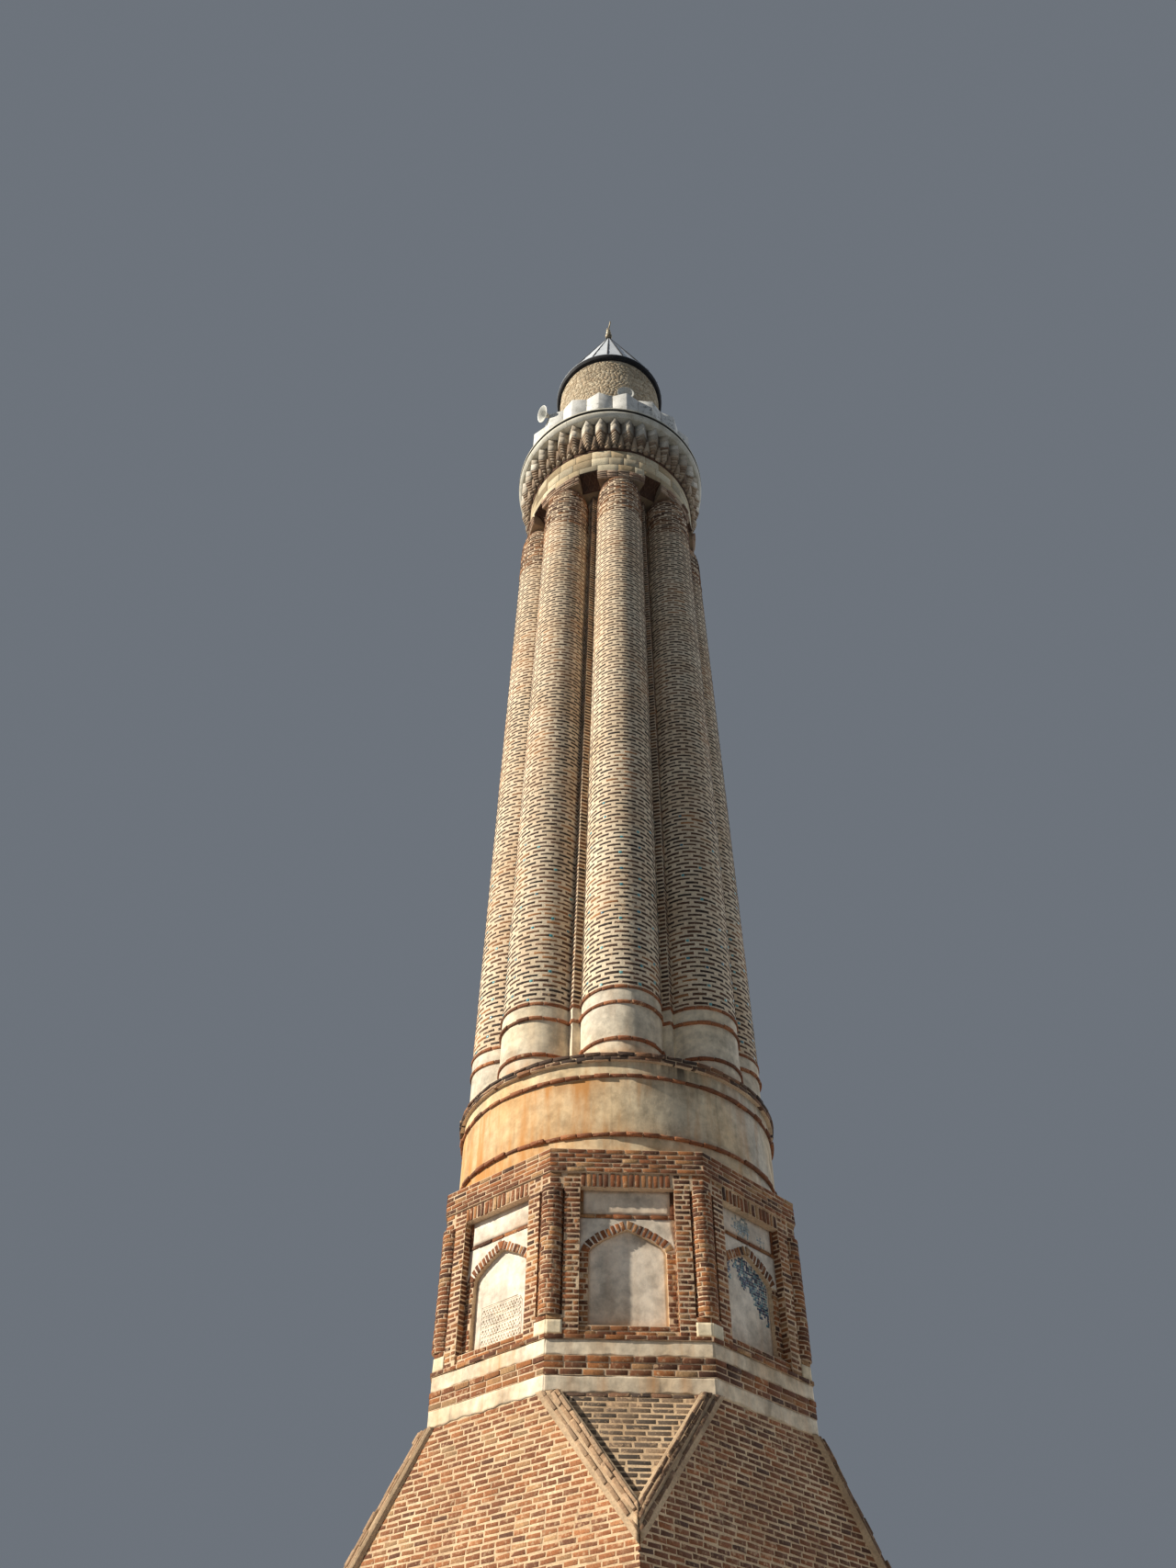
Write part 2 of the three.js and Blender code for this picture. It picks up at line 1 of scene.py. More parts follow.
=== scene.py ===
"""A brick minaret with a fluted shaft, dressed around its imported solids. Metres, +Z up.

The tower's axis is Z. Angles are measured around it from +X, and the photograph looks at the corner
between +X and -Y. Bricks and stones are laid by (across, level, proud) on named surfaces.
"""
import math

import bpy
import numpy as np
from mathutils import Matrix, Vector


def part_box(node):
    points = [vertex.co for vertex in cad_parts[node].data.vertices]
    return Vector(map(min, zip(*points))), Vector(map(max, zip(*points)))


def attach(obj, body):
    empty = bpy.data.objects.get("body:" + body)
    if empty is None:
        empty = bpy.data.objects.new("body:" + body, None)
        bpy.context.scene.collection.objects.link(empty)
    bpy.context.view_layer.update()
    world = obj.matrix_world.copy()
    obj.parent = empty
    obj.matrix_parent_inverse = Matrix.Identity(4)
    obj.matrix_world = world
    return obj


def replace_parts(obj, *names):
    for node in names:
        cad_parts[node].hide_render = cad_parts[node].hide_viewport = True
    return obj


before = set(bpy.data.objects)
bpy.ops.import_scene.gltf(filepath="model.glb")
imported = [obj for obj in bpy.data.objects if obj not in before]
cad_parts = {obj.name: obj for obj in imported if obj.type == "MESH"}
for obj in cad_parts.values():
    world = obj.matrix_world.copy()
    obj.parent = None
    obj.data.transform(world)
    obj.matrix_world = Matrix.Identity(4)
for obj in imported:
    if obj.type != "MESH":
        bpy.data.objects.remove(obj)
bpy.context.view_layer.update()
rng = np.random.default_rng(7)


def bottom(node):
    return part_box(node)[0].z


def top(node):
    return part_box(node)[1].z


# Plan sizes
SIDES = 8
EIGHTH = 2 * math.pi / SIDES
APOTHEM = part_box("base_wall_east")[1].x
HALF_SIDE = APOTHEM * math.tan(EIGHTH / 2)
WELL_RADIUS = HALF_SIDE
BAND_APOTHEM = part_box("brick_band")[1].x
SILL_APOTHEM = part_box("sill_course")[1].x
CORNICE_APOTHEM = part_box("octagon_cornice")[1].x

# Levels
CHAMFER_APEX = 4.57
BASE_TOP = top("base_wall_east")
BAND_BOTTOM = bottom("brick_band")
BAND_TOP = top("brick_band")
SILL_BOTTOM = bottom("sill_course")
STAGE_BOTTOM = top("sill_course")
STAGE_TOP = bottom("octagon_cornice")
CORNICE_TOP = top("octagon_cornice")
COPING_BOTTOM = bottom("drum_coping")
COPING_TOP = top("drum_coping")
SHAFT_BOTTOM = bottom("fluted_shaft")
SHAFT_TOP = top("fluted_shaft")

# Doorway on the side away from the photograph
DOOR_ANGLE = math.pi / 2
DOOR_HALF_WIDTH = 0.38
DOOR_TOP = 1.9

# Corner triangles, and the ribs on their slanting edges: bars from inner to outer side, and height
CHAMFER_LEAN = (math.sqrt(2) - 1) * APOTHEM / (BASE_TOP - CHAMFER_APEX)
CHAMFER_TILT = math.atan(CHAMFER_LEAN)
RIB_MARGIN = 0.115
RIB_BARS = [(0.040, 0.080, 0.044), (-0.006, 0.034, 0.050), (-0.082, -0.040, 0.034)]
RIB_BED = (-0.130, 0.100)
RIB_BED_PROUD = 0.022
RIB_LEAN = 0.055
RIB_TAIL = 0.2

# Niches
NICHE_HALF_WIDTH = 0.57
NICHE_DEPTH = 0.11
NICHE_TOP = 8.30
PANEL_HALF_WIDTH = 0.463
PANEL_DEPTH = 0.07
PANEL_BOTTOM = 6.68
PANEL_SPRING = 7.54
PANEL_RISE = 0.29
PANEL_APEX = PANEL_SPRING + PANEL_RISE
ARCH_HAUNCH = 0.30
ARCH_CROWN = 0.66
ARCH_STEP = 0.02
VOUSSOIR = 0.095
PILASTER = (0.574, 0.762)
COLONNETTE_RADIUS = 0.135
COLONNETTE_CENTRE = 2.335
COLONNETTE_BOTTOM = 6.78
COLONNETTE_TOP = 8.28
CAPITAL_EDGE = 0.80
FOOTING_BOTTOM = 6.722
FOOTING_EDGE = 0.77
BLOCK_EDGE = HALF_SIDE - 0.18
NICHE_STRING = 7.955
SIDE_STRIPS = [(8.005, 8.145), (8.155, 8.295)]
SIDE_STRIP = (0.525, 0.566)
UPPER_PANEL = (8.005, 8.297)
UPPER_PANEL_HALF = 0.522
RELIEF_SIDE = 6
RELIEF = (-0.32, 0.33, 6.73, 7.20)
RELIEF_WAVE = 0.14
MOSAIC_SIDE = 0
MOSAIC_BOTTOM = 7.08
MOSAIC_PITCH = 0.032
# Middle across, level and reach of the faded patches over the mosaic's arch
FADED_PATCHES = [(-0.1, 8.13, 0.17), (0.02, 7.915, 0.07), (0.3, 8.06, 0.08)]

# Drum and shaft
DRUM_RADIUS = 2.21
LOWER_STRING = 9.003
UPPER_STRING = 9.84
COPING_RADIUS = 2.268
COPING_PITCH = 0.055
FOOT_FLUTES = (1.595, 0.583, 1.822)
LOWEST_FLUTES = (1.614, 0.574, 1.825)
HIGHEST_FLUTES = (1.597, 0.485, 1.53)
SHAFT_TWIST = math.radians(4.5)
FOOT_STRINGS = (10.44, 11.03)
FOOT_STEP = 11.05
SHOULDER_BOTTOM = 24.75
SHOULDER_TOP = 25.24
SHOULDER_DROP = 0.045
ARRIS_RUN = EIGHTH / 2 + 1.25 * math.pi

# Neck
NECK_RADIUS = 1.95
NECK_BOTTOM = SHAFT_TOP
RING_BOTTOM = 25.67
RING_TOP = bottom("corbel_ring")
RING_COURSES = 3
NECK_STEPS = 4
NECK_STEP_PITCH = 0.064
POCKET_HALF = 0.22
POCKET_DEPTH = 0.33
POCKET_TOP = 25.76
POCKET_RIB_HALF = 0.009

# Balcony
CORBEL_COUNT = 40
FIRST_CORBEL = math.radians(0.1)
CORBEL_TIP = 2.222
CORBEL_VALLEY = 2.06
CORBEL_FOOT = 26.68
CORBEL_REACHES = (0.158, 0.15, 0.14, 0.127, 0.105, 0.06)
LOWER_REACH = 0.105
CORE_FOOT = 1.965
HEAD_BOTTOM = 27.2
HEAD_TOP = bottom("balcony_floor")
FASCIA_TOP = 27.87
LIP_BOTTOM = 27.95
BALCONY_TOP = top("balcony_floor")
BALCONY_RADIUS = 2.305
EDGE_STONES = 24
FOLDS = 20
FIRST_FOLD = math.radians(-1)
FOLD_TIP = 2.192
FOLD_VALLEY = 2.066
PARAPET_THICKNESS = 0.09
PARAPET_TOP = top("parapet")

# Upper shaft, roof and loudspeakers
UPPER_RADIUS = 1.36
UPPER_DOOR_HALF = 0.32
UPPER_DOOR_TOP = BALCONY_TOP + 1.75
UPPER_FRAME = 0.13
JAMB_STONES = 4
EAVE_RADIUS = 1.478
EAVE_BOTTOM = bottom("eave_ring")
EAVE_TOP = top("eave_ring")
CONE_RADIUS = 1.462
CONE_TIP = 0.045
CONE_TOP = top("cone_roof")
ROOF_SEAMS = 22
ROOF_LAPS = 5
FIRST_SEAM = math.radians(-49.4)
SEAM_RADIUS = 0.026
FINIAL_TOP = top("finial")
CRESCENT_OPENING = 0.55
CRESCENT_TURN = math.radians(-28)
# Name, distance and direction from the axis, levels of foot and bell, direction and dip of the bell
LOUDSPEAKERS = [
    ("loudspeaker_south", 2.147, math.radians(-93.5), 29.07, 29.175, math.radians(-108), math.radians(20)),
    ("loudspeaker_east", 1.84, math.radians(-36), 28.01, 29.44, math.radians(-40), math.radians(12)),
]
HORN = [
    (0.001, -0.15), (0.062, -0.15), (0.07, -0.142), (0.07, -0.068), (0.062, -0.06), (0.045, -0.055),
    (0.045, 0.0), (0.052, 0.04), (0.068, 0.08), (0.095, 0.115), (0.14, 0.15), (0.19, 0.178), (0.205, 0.186),
    (0.213, 0.192), (0.213, 0.2), (0.205, 0.203), (0.19, 0.197), (0.13, 0.16), (0.085, 0.12), (0.055, 0.08),
    (0.03, 0.04), (0.001, 0.03),
]

# Bricks
LAP = 0.004
BRICK_LENGTH = 0.205
BRICK_HEIGHT = 0.042
BED_JOINT = 0.019
HEAD_JOINT = 0.018
FLUTE_PITCH = 0.082
FLUTE_SPACING = 0.285
FLUTE_BRICK_LENGTH = 0.222
FLUTE_BRICK_HEIGHT = 0.045
FIRST_FLUTE_ROW = SHAFT_BOTTOM + 0.085
FLUTE_ROWS = int((SHAFT_TOP - SHAFT_BOTTOM - 0.05) / FLUTE_PITCH)
GLAZED_ROWS = 48
ROUGH_BOTTOM = 23.9
ROUGH_GROWTH = (-0.012, 0.012, -0.004, 0.010)
STONE_EDGE = 0.006
STONE_JOINT = 0.008

# Camera
CAMERA_AZIMUTH = math.radians(41.77)
CAMERA_DISTANCE = 15.834
CAMERA_HEIGHT = 1.6
CAMERA_YAW = math.radians(-1.712)
CAMERA_PITCH = math.radians(45.16)
CAMERA_ROLL = math.radians(0.678)
LENS = 27.04
SENSOR = 36

# Light and floor: name, direction, height, strength, softness in degrees and colour
LIGHTS = [
    ("key", math.radians(-119), math.radians(28), 5.8, 1.2, (1.0, 0.93, 0.82)),
    ("fill", math.radians(70), math.radians(30), 0.75, 40, (0.92, 0.95, 1.0)),
]
SKY = (0.76, 0.86, 1.0)
SKY_STRENGTH = 0.20
FLOOR_HALF = 15.0


def from_view(degrees):
    """Angle off the photograph's line of sight, to the right, of an angle around the tower."""
    return (degrees + 48.23 + 180) % 360 - 180


# Surfaces: each takes (across, level, proud) as arrays and gives points

def turned(x, y, angle):
    return x * np.cos(angle) - y * np.sin(angle), x * np.sin(angle) + y * np.cos(angle)


def points_of(x, y, z):
    return np.stack(np.broadcast_arrays(x, y, z), -1)


def placed(x, y, z, angle):
    """Points with their plan turned around the tower's axis."""
    return points_of(*turned(x, y, angle), z)


def flat_face(angle, distance):
    return lambda u, v, w: placed(distance + w, u, v, angle)


def round_face(radius, centre=(0.0, 0.0), angle=0.0):
    def surface(u, v, w):
        x, y = turned(radius + w, 0 * u, angle + u / radius)
        return points_of(centre[0] + x, centre[1] + y, v)
    return surface


def reveal_face(angle, side):
    """Side of a niche: across runs into the wall."""
    distance = APOTHEM - NICHE_DEPTH / 2
    return lambda u, v, w: placed(distance + side * u, side * (NICHE_HALF_WIDTH - w), v, angle)


def chamfer_face(angle):
    """Sloping triangle at a corner of the base."""
    def surface(u, v, w):
        distance = APOTHEM + (BASE_TOP - v) * CHAMFER_LEAN + w * math.cos(CHAMFER_TILT)
        return placed(distance, u, v + w * math.sin(CHAMFER_TILT), angle)
    return surface


def stretched(surface, factor):
    """Surface whose level axis is scaled about the base's top, for lengths measured up a slope."""
    return lambda u, v, w: surface(u, BASE_TOP + (v - BASE_TOP) * factor, w)


def rib_face(corner, side):
    """Along, across and outward over the slanting edge between a corner triangle and one of its walls."""
    wall = Vector((1, 0, 0)) if side < 0 else Vector((0, 1, 0))
    lean = math.sin(CHAMFER_TILT)
    slope = Vector((math.cos(CHAMFER_TILT) / math.sqrt(2), math.cos(CHAMFER_TILT) / math.sqrt(2), lean))
    foot = Vector((APOTHEM, APOTHEM, CHAMFER_APEX))
    head = Vector((APOTHEM, HALF_SIDE, BASE_TOP)) if side < 0 else Vector((HALF_SIDE, APOTHEM, BASE_TOP))
    length = (head - foot).length
    up = (head - foot).normalized()
    outward = (wall + slope).normalized()
    across = outward.cross(up)

    def surface(u, v, w):
        v = v + side * RIB_LEAN * np.clip(u / length, 0, 1)
        mitre = (v * (across.y - across.x) + w * (outward.y - outward.x)) / (up.x - up.y)
        cut_off = (BASE_TOP - foot.z - v * across.z - w * outward.z) / up.z
        u = np.minimum(np.maximum(u, mitre), cut_off)
        x, y, z = (foot[i] + u * up[i] + v * across[i] + w * outward[i] for i in range(3))
        return placed(x, y, z, corner * math.pi / 2)
    return surface


def flutes_at(z):
    """Centre distance, radius, arris tip and turn of the flutes at a level."""
    share = np.clip((z - SHAFT_BOTTOM) / (SHAFT_TOP - SHAFT_BOTTOM), 0, 1)
    centre, radius, tip = (low + (high - low) * share for low, high in zip(LOWEST_FLUTES, HIGHEST_FLUTES))
    rounding = np.clip((z - SHOULDER_BOTTOM) / (SHOULDER_TOP - SHOULDER_BOTTOM), 0, 1.3)
    return centre, radius - SHOULDER_DROP * rounding ** 2.5, tip, SHAFT_TWIST * share


def arris_length(centre, radius, tip):
    """Width of an arris's face, from its tip to where it meets the flute."""
    x = tip * math.cos(EIGHTH / 2) - centre
    y = tip * math.sin(EIGHTH / 2)
    slope = x * math.cos(ARRIS_RUN) + y * math.sin(ARRIS_RUN)
    return -slope - np.sqrt(slope ** 2 - x ** 2 - y ** 2 + radius ** 2)


def flute_reach(centre, radius, tip):
    """Half angle of a flute, from its middle to where an arris meets it."""
    length = arris_length(centre, radius, tip)
    x = tip * math.cos(EIGHTH / 2) - centre + length * math.cos(ARRIS_RUN)
    y = tip * math.sin(EIGHTH / 2) + length * math.sin(ARRIS_RUN)
    return np.arctan2(y, x)


def flute_face(number, sizes=None):
    def surface(u, v, w):
        centre, radius, _, turn = sizes + (0.0,) if sizes else flutes_at(v)
        x = centre + (radius + w) * np.cos(u / radius)
        return placed(x, (radius + w) * np.sin(u / radius), v, turn + number * EIGHTH)
    return surface


def arris_face(number, side, sizes=None):
    """One face of the arris after a flute: side -1 looks back to the flute, +1 on to the next."""
    along = math.pi - side * math.pi / 4
    facing = side * math.pi / 4

    def surface(u, v, w):
        _, _, tip, turn = sizes + (0.0,) if sizes else flutes_at(v)
        distance = side * u
        x = tip + distance * math.cos(along) + w * math.cos(facing)
        y = distance * math.sin(along) + w * math.sin(facing)
        return placed(x, y, v, turn + (number + 0.5) * EIGHTH)
    return surface


def cove_face(angle):
    """Hollow quarter round of a pocket: level runs from 0 at its foot to 1 at its lip."""
    def surface(u, v, w):
        turn = v * math.pi / 2
        distance = NECK_RADIUS - (POCKET_DEPTH - 0.02 - w) * np.cos(turn)
        level = NECK_BOTTOM + (POCKET_TOP - NECK_BOTTOM - w) * np.sin(turn)
        return placed(distance, u, level, angle)
    return surface


def line_face(start, end):
    """Upright plane through two points in plan, which faces away from the tower's axis."""
    along = (end - start).normalized()

    def surface(u, v, w):
        return points_of(start.x + along.x * u + along.y * w, start.y + along.y * u - along.x * w, v)
    return surface


def arch_curve():
    """Points of the panel's pointed arch from its left spring over the apex to the right one."""
    t = np.linspace(0, 1, 40)[:, None]
    half = PANEL_HALF_WIDTH
    haunch = (half, PANEL_SPRING + ARCH_HAUNCH * PANEL_RISE)
    crown = (0.5 * half, PANEL_SPRING + ARCH_CROWN * PANEL_RISE)
    knots = np.array([(half, PANEL_SPRING), haunch, crown, (0, PANEL_APEX)])
    weights = np.hstack([(1 - t) ** 3, 3 * t * (1 - t) ** 2, 3 * t ** 2 * (1 - t), t ** 3])
    right = weights @ knots
    return np.vstack([right * (-1, 1), right[-2::-1]])


ARCH = arch_curve()
ARCH_RUN = np.concatenate([[0], np.cumsum(np.hypot(*np.diff(ARCH, axis=0).T))])


def arch_point(run):
    return np.interp(run, ARCH_RUN, ARCH[:, 0]), np.interp(run, ARCH_RUN, ARCH[:, 1])


def arch_face(angle, distance):
    """Across runs along the arch and level runs outwards from it."""
    def surface(u, v, w):
        x, z = arch_point(u)
        ahead_x, ahead_z = arch_point(np.clip(u + ARCH_STEP, 0, ARCH_RUN[-1]))
        behind_x, behind_z = arch_point(np.clip(u - ARCH_STEP, 0, ARCH_RUN[-1]))
        along_x, along_z = ahead_x - behind_x, ahead_z - behind_z
        size = np.hypot(along_x, along_z)
        return placed(distance + w, x - v * along_z / size, z + v * along_x / size, angle)
    return surface


def arch_half(level):
    """Half width of a niche's panel at a level."""
    right = ARCH[len(ARCH) // 2:][::-1]
    return np.interp(level, right[:, 1], right[:, 0])


# Materials

class Shader:
    """A node material: each method adds nodes and gives an output socket."""

    def __init__(self, name, roughness=0.9, metallic=0.0):
        self.material = bpy.data.materials.new(name)
        self.material.use_nodes = True
        self.nodes = self.material.node_tree.nodes
        self.links = self.material.node_tree.links
        self.surface = self.nodes["Principled BSDF"]
        self.surface.inputs["Roughness"].default_value = roughness
        self.surface.inputs["Metallic"].default_value = metallic
        self.place = self.nodes.new("ShaderNodeTexCoord").outputs["Object"]

    def set(self, socket, value):
        if isinstance(value, bpy.types.NodeSocket):
            self.links.new(value, socket)
        elif isinstance(value, tuple) and len(value) == 3 and socket.type == "RGBA":
            socket.default_value = (*value, 1)
        else:
            socket.default_value = value

    def node(self, kind, output, **inputs):
        """Node with its inputs by name; underscores stand for spaces."""
        node = self.nodes.new(f"ShaderNode{kind}")
        for name, value in inputs.items():
            self.set(node.inputs[name.replace("_", " ")], value)
        return node.outputs[output]

    def noise(self, scale, detail=4.0, stretch=(1, 1, 1), offset=(0, 0, 0), roughness=0.55):
        place = self.node("Mapping", "Vector", Vector=self.place, Scale=stretch, Location=offset)
        return self.node("TexNoise", "Fac", Vector=place, Scale=scale, Detail=detail, Roughness=roughness)

    def band(self, value, low, high, out_low=0.0, out_high=1.0):
        return self.node("MapRange", "Result", Value=value, From_Min=low, From_Max=high, To_Min=out_low,
                         To_Max=out_high)

    def ramp(self, value, stops):
        node = self.nodes.new("ShaderNodeValToRGB")
        elements = node.color_ramp.elements
        while len(elements) < len(stops):
            elements.new(0.5)
        for element, (position, colour) in zip(elements, stops):
            element.position = position
            element.color = (*colour, 1) if isinstance(colour, tuple) else (colour, colour, colour, 1)
        self.set(node.inputs["Fac"], value)
        return node.outputs["Color"]

    def math(self, operation, first, second=0.0):
        node = self.nodes.new("ShaderNodeMath")
        node.operation = operation
        self.set(node.inputs[0], first)
        self.set(node.inputs[1], second)
        return node.outputs["Value"]

    def mix(self, share, first, second, kind="MIX"):
        node = self.nodes.new("ShaderNodeMix")
        node.data_type = "RGBA"
        node.blend_type = kind
        self.set(node.inputs["Factor"], share)
        self.set(node.inputs[6], first)
        self.set(node.inputs[7], second)
        return node.outputs[2]

    def shaded(self, colour, value, stops):
        """Colour made darker and lighter by a ramp over a value."""
        return self.mix(1.0, colour, self.ramp(value, stops), "MULTIPLY")

    def stained(self, colour, value, low, high, amount, stain):
        """Colour with a stain that comes in as a value goes from low to high."""
        return self.mix(self.math("MULTIPLY", self.band(value, low, high), amount), colour, stain)

    def painted(self):
        """Red, green and blue of a colour that the mesh carries."""
        attribute = self.nodes.new("ShaderNodeAttribute")
        attribute.attribute_name = "shade"
        parts = self.nodes.new("ShaderNodeSeparateColor")
        self.links.new(attribute.outputs["Color"], parts.inputs["Color"])
        return [parts.outputs[i] for i in range(3)]

    def finish(self, colour, height, depth, strength):
        self.set(self.surface.inputs["Base Color"], colour)
        bump = self.node("Bump", "Normal", Strength=strength, Distance=depth, Height=height)
        self.links.new(bump, self.surface.inputs["Normal"])
        return self.material


LIME = (0.64, 0.43, 0.25)
LIME_DARK = (0.34, 0.23, 0.14)
LIME_GREY = (0.66, 0.61, 0.52)
SOOT_AND_SHADE = (0.035, 0.028, 0.022)
RUST = (0.56, 0.24, 0.055)
CLAY_AND_SHADE = (0.17, 0.085, 0.045)
LICHEN = (0.075, 0.068, 0.055)
SHADOW = (0.012, 0.011, 0.010)


def brick_material(name, smear, dirt, stops):
    """Fired brick or stone: a colour for each, speckled, smeared with lime, and darkened by dirt and by
    painted shade that the mesh carries.
    """
    shader = Shader(name, roughness=0.93)
    tint, spot, _ = shader.painted()
    speckle = shader.noise(55, detail=5)
    colour = shader.shaded(shader.ramp(tint, stops), speckle, [(0.3, 0.62), (0.5, 0.95), (0.72, 1.25)])
    zone = shader.noise(0.9, detail=3)
    colour = shader.shaded(colour, zone, [(0.35, 0.78), (0.65, 1.12)])
    film = shader.noise(16, detail=6, roughness=0.65)
    film = shader.math("ADD", film, shader.band(zone, 0.35, 0.7, -0.06, 0.05))
    colour = shader.stained(colour, film, 0.60 - 0.16 * smear, 0.70 - 0.1 * smear, 0.75, LIME)
    # Soot-dark where the mesh's green channel is high: random dirt, and painted shade on some walls and
    # corbels
    colour = shader.stained(colour, spot, 0.55, 1.0, dirt, SOOT_AND_SHADE)
    return shader.finish(colour, shader.math("ADD", speckle, film), depth=0.004, strength=0.7)


def mortar_material(name, pale, dark, dirt=0.3, adds_clay_and_shade=False):
    shader = Shader(name, roughness=0.95)
    coarse = shader.noise(1.4, detail=5)
    fine = shader.noise(38, detail=6, roughness=0.7)
    colour = shader.mix(shader.band(coarse, 0.35, 0.68), pale, dark)
    colour = shader.shaded(colour, fine, [(0.3, 0.7), (0.6, 1.1)])
    stain = shader.noise(3.2, detail=6, stretch=(1, 1, 0.35), offset=(3, 1, 0))
    colour = shader.stained(colour, stain, 0.55, 0.75, dirt, SOOT_AND_SHADE)
    if adds_clay_and_shade:
        # Clay brown where the mesh carries it, partly painted shade
        clay_and_shade = shader.math("MULTIPLY", shader.painted()[1], shader.band(stain, 0.2, 0.5))
        colour = shader.mix(clay_and_shade, colour, CLAY_AND_SHADE)
    return shader.finish(colour, fine, depth=0.006, strength=0.8)


def plaster_material(name, pale, ochre, rust, soot):
    """Lime plaster with ochre patches, rusty streaks and run-off, which the mesh may add to."""
    shader = Shader(name, roughness=0.92)
    more_rust, more_soot, greyed = shader.painted()
    patch = shader.noise(1.1, detail=5, stretch=(1, 1, 0.7))
    colour = shader.mix(shader.band(patch, 0.38, 0.66), pale, ochre)
    colour = shader.mix(greyed, colour, LIME_GREY)
    cloud = shader.noise(6, detail=6, roughness=0.65)
    colour = shader.shaded(colour, cloud, [(0.3, 0.66), (0.62, 1.12)])
    mottle = shader.noise(2.6, detail=6, offset=(6, 1, 4), roughness=0.7)
    colour = shader.shaded(colour, mottle, [(0.36, 0.74), (0.5, 1.0), (0.66, 1.10)])
    streak = shader.noise(5.5, detail=5, stretch=(1, 1, 0.16), offset=(2, 5, 0))
    rusty = shader.math("MULTIPLY", shader.band(streak, 0.5, 0.72), rust)
    added = shader.math("MULTIPLY", more_rust, shader.band(streak, 0.3, 0.6, 0.35, 1.0))
    rusty = shader.math("ADD", rusty, added)
    colour = shader.mix(shader.math("MINIMUM", rusty, 0.9), colour, RUST)
    run = shader.noise(7.5, detail=6, stretch=(1, 1, 0.12), offset=(9, 2, 0))
    black = shader.math("MULTIPLY", shader.band(run, 0.6, 0.78), soot)
    added = shader.math("MULTIPLY", more_soot, shader.band(run, 0.36, 0.58))
    black = shader.math("ADD", black, added)
    colour = shader.mix(shader.math("MINIMUM", black, 0.88), colour, SOOT_AND_SHADE)
    grain = shader.math("MULTIPLY", shader.noise(90, detail=4), 0.3)
    height = shader.math("ADD", grain, shader.noise(11, detail=4))
    return shader.finish(colour, height, depth=0.008, strength=0.5)


def marble_material(name, pale, grey, dirt):
    """Weathered marble: cloudy, speckled, and dark where the mesh carries dirt or shadow."""
    shader = Shader(name, roughness=0.62)
    tint, spot, shadow = shader.painted()
    cloud = shader.noise(4.5, detail=7, roughness=0.62)
    share = shader.math("ADD", cloud, shader.band(tint, 0, 1, -0.07, 0.07))
    colour = shader.mix(shader.band(share, 0.42, 0.66), pale, grey)
    vein = shader.noise(2.2, detail=6, stretch=(1, 1, 0.5), offset=(4, 0, 2), roughness=0.7)
    is_vein = shader.band(shader.math("ABSOLUTE", shader.math("SUBTRACT", vein, 0.5)), 0.0, 0.012, 0.55, 0.0)
    colour = shader.mix(is_vein, colour, grey)
    grain = shader.noise(60, detail=5)
    colour = shader.shaded(colour, grain, [(0.32, 0.72), (0.5, 1.0), (0.7, 1.08)])
    lichen = shader.noise(9, detail=7, offset=(1, 7, 3), roughness=0.7)
    limit = shader.band(spot, 0.5, 1.5, 0.64, 0.44)
    colour = shader.stained(colour, shader.math("SUBTRACT", lichen, limit), 0.0, 0.1, dirt, LICHEN)
    colour = shader.mix(shadow, colour, SHADOW)
    return shader.finish(colour, shader.math("ADD", grain, lichen), depth=0.004, strength=0.5)


def metal_material(name, pale, dark, roughness, metallic=0.0, spots=0.35):
    """Sheet metal or paint, weathered by run-off and spots."""
    shader = Shader(name, roughness, metallic)
    cloud = shader.noise(3.2, detail=6, roughness=0.6)
    colour = shader.mix(shader.band(cloud, 0.35, 0.7), pale, dark)
    run = shader.noise(9, detail=5, stretch=(1, 1, 0.14), offset=(3, 3, 0))
    colour = shader.stained(colour, run, 0.5, 0.75, 0.5, dark)
    spot = shader.noise(28, detail=6, roughness=0.7)
    colour = shader.stained(colour, spot, 0.58, 0.72, spots, SOOT_AND_SHADE)
    worn = shader.band(cloud, 0.3, 0.7, roughness - 0.08, roughness + 0.12)
    shader.set(shader.surface.inputs["Roughness"], worn)
    return shader.finish(colour, shader.math("ADD", cloud, spot), depth=0.004, strength=0.4)


def glaze_material(name, stops):
    """Glazed tile: a colour per tile, worn to dull spots."""
    shader = Shader(name)
    worn = shader.noise(45, detail=5, roughness=0.65)
    tint = shader.painted()[0]
    colour = shader.mix(shader.band(worn, 0.55, 0.7, 0.0, 0.6), shader.ramp(tint, stops), LIME_DARK)
    shader.set(shader.surface.inputs["Roughness"], shader.band(worn, 0.4, 0.65, 0.22, 0.75))
    return shader.finish(colour, worn, depth=0.002, strength=0.4)
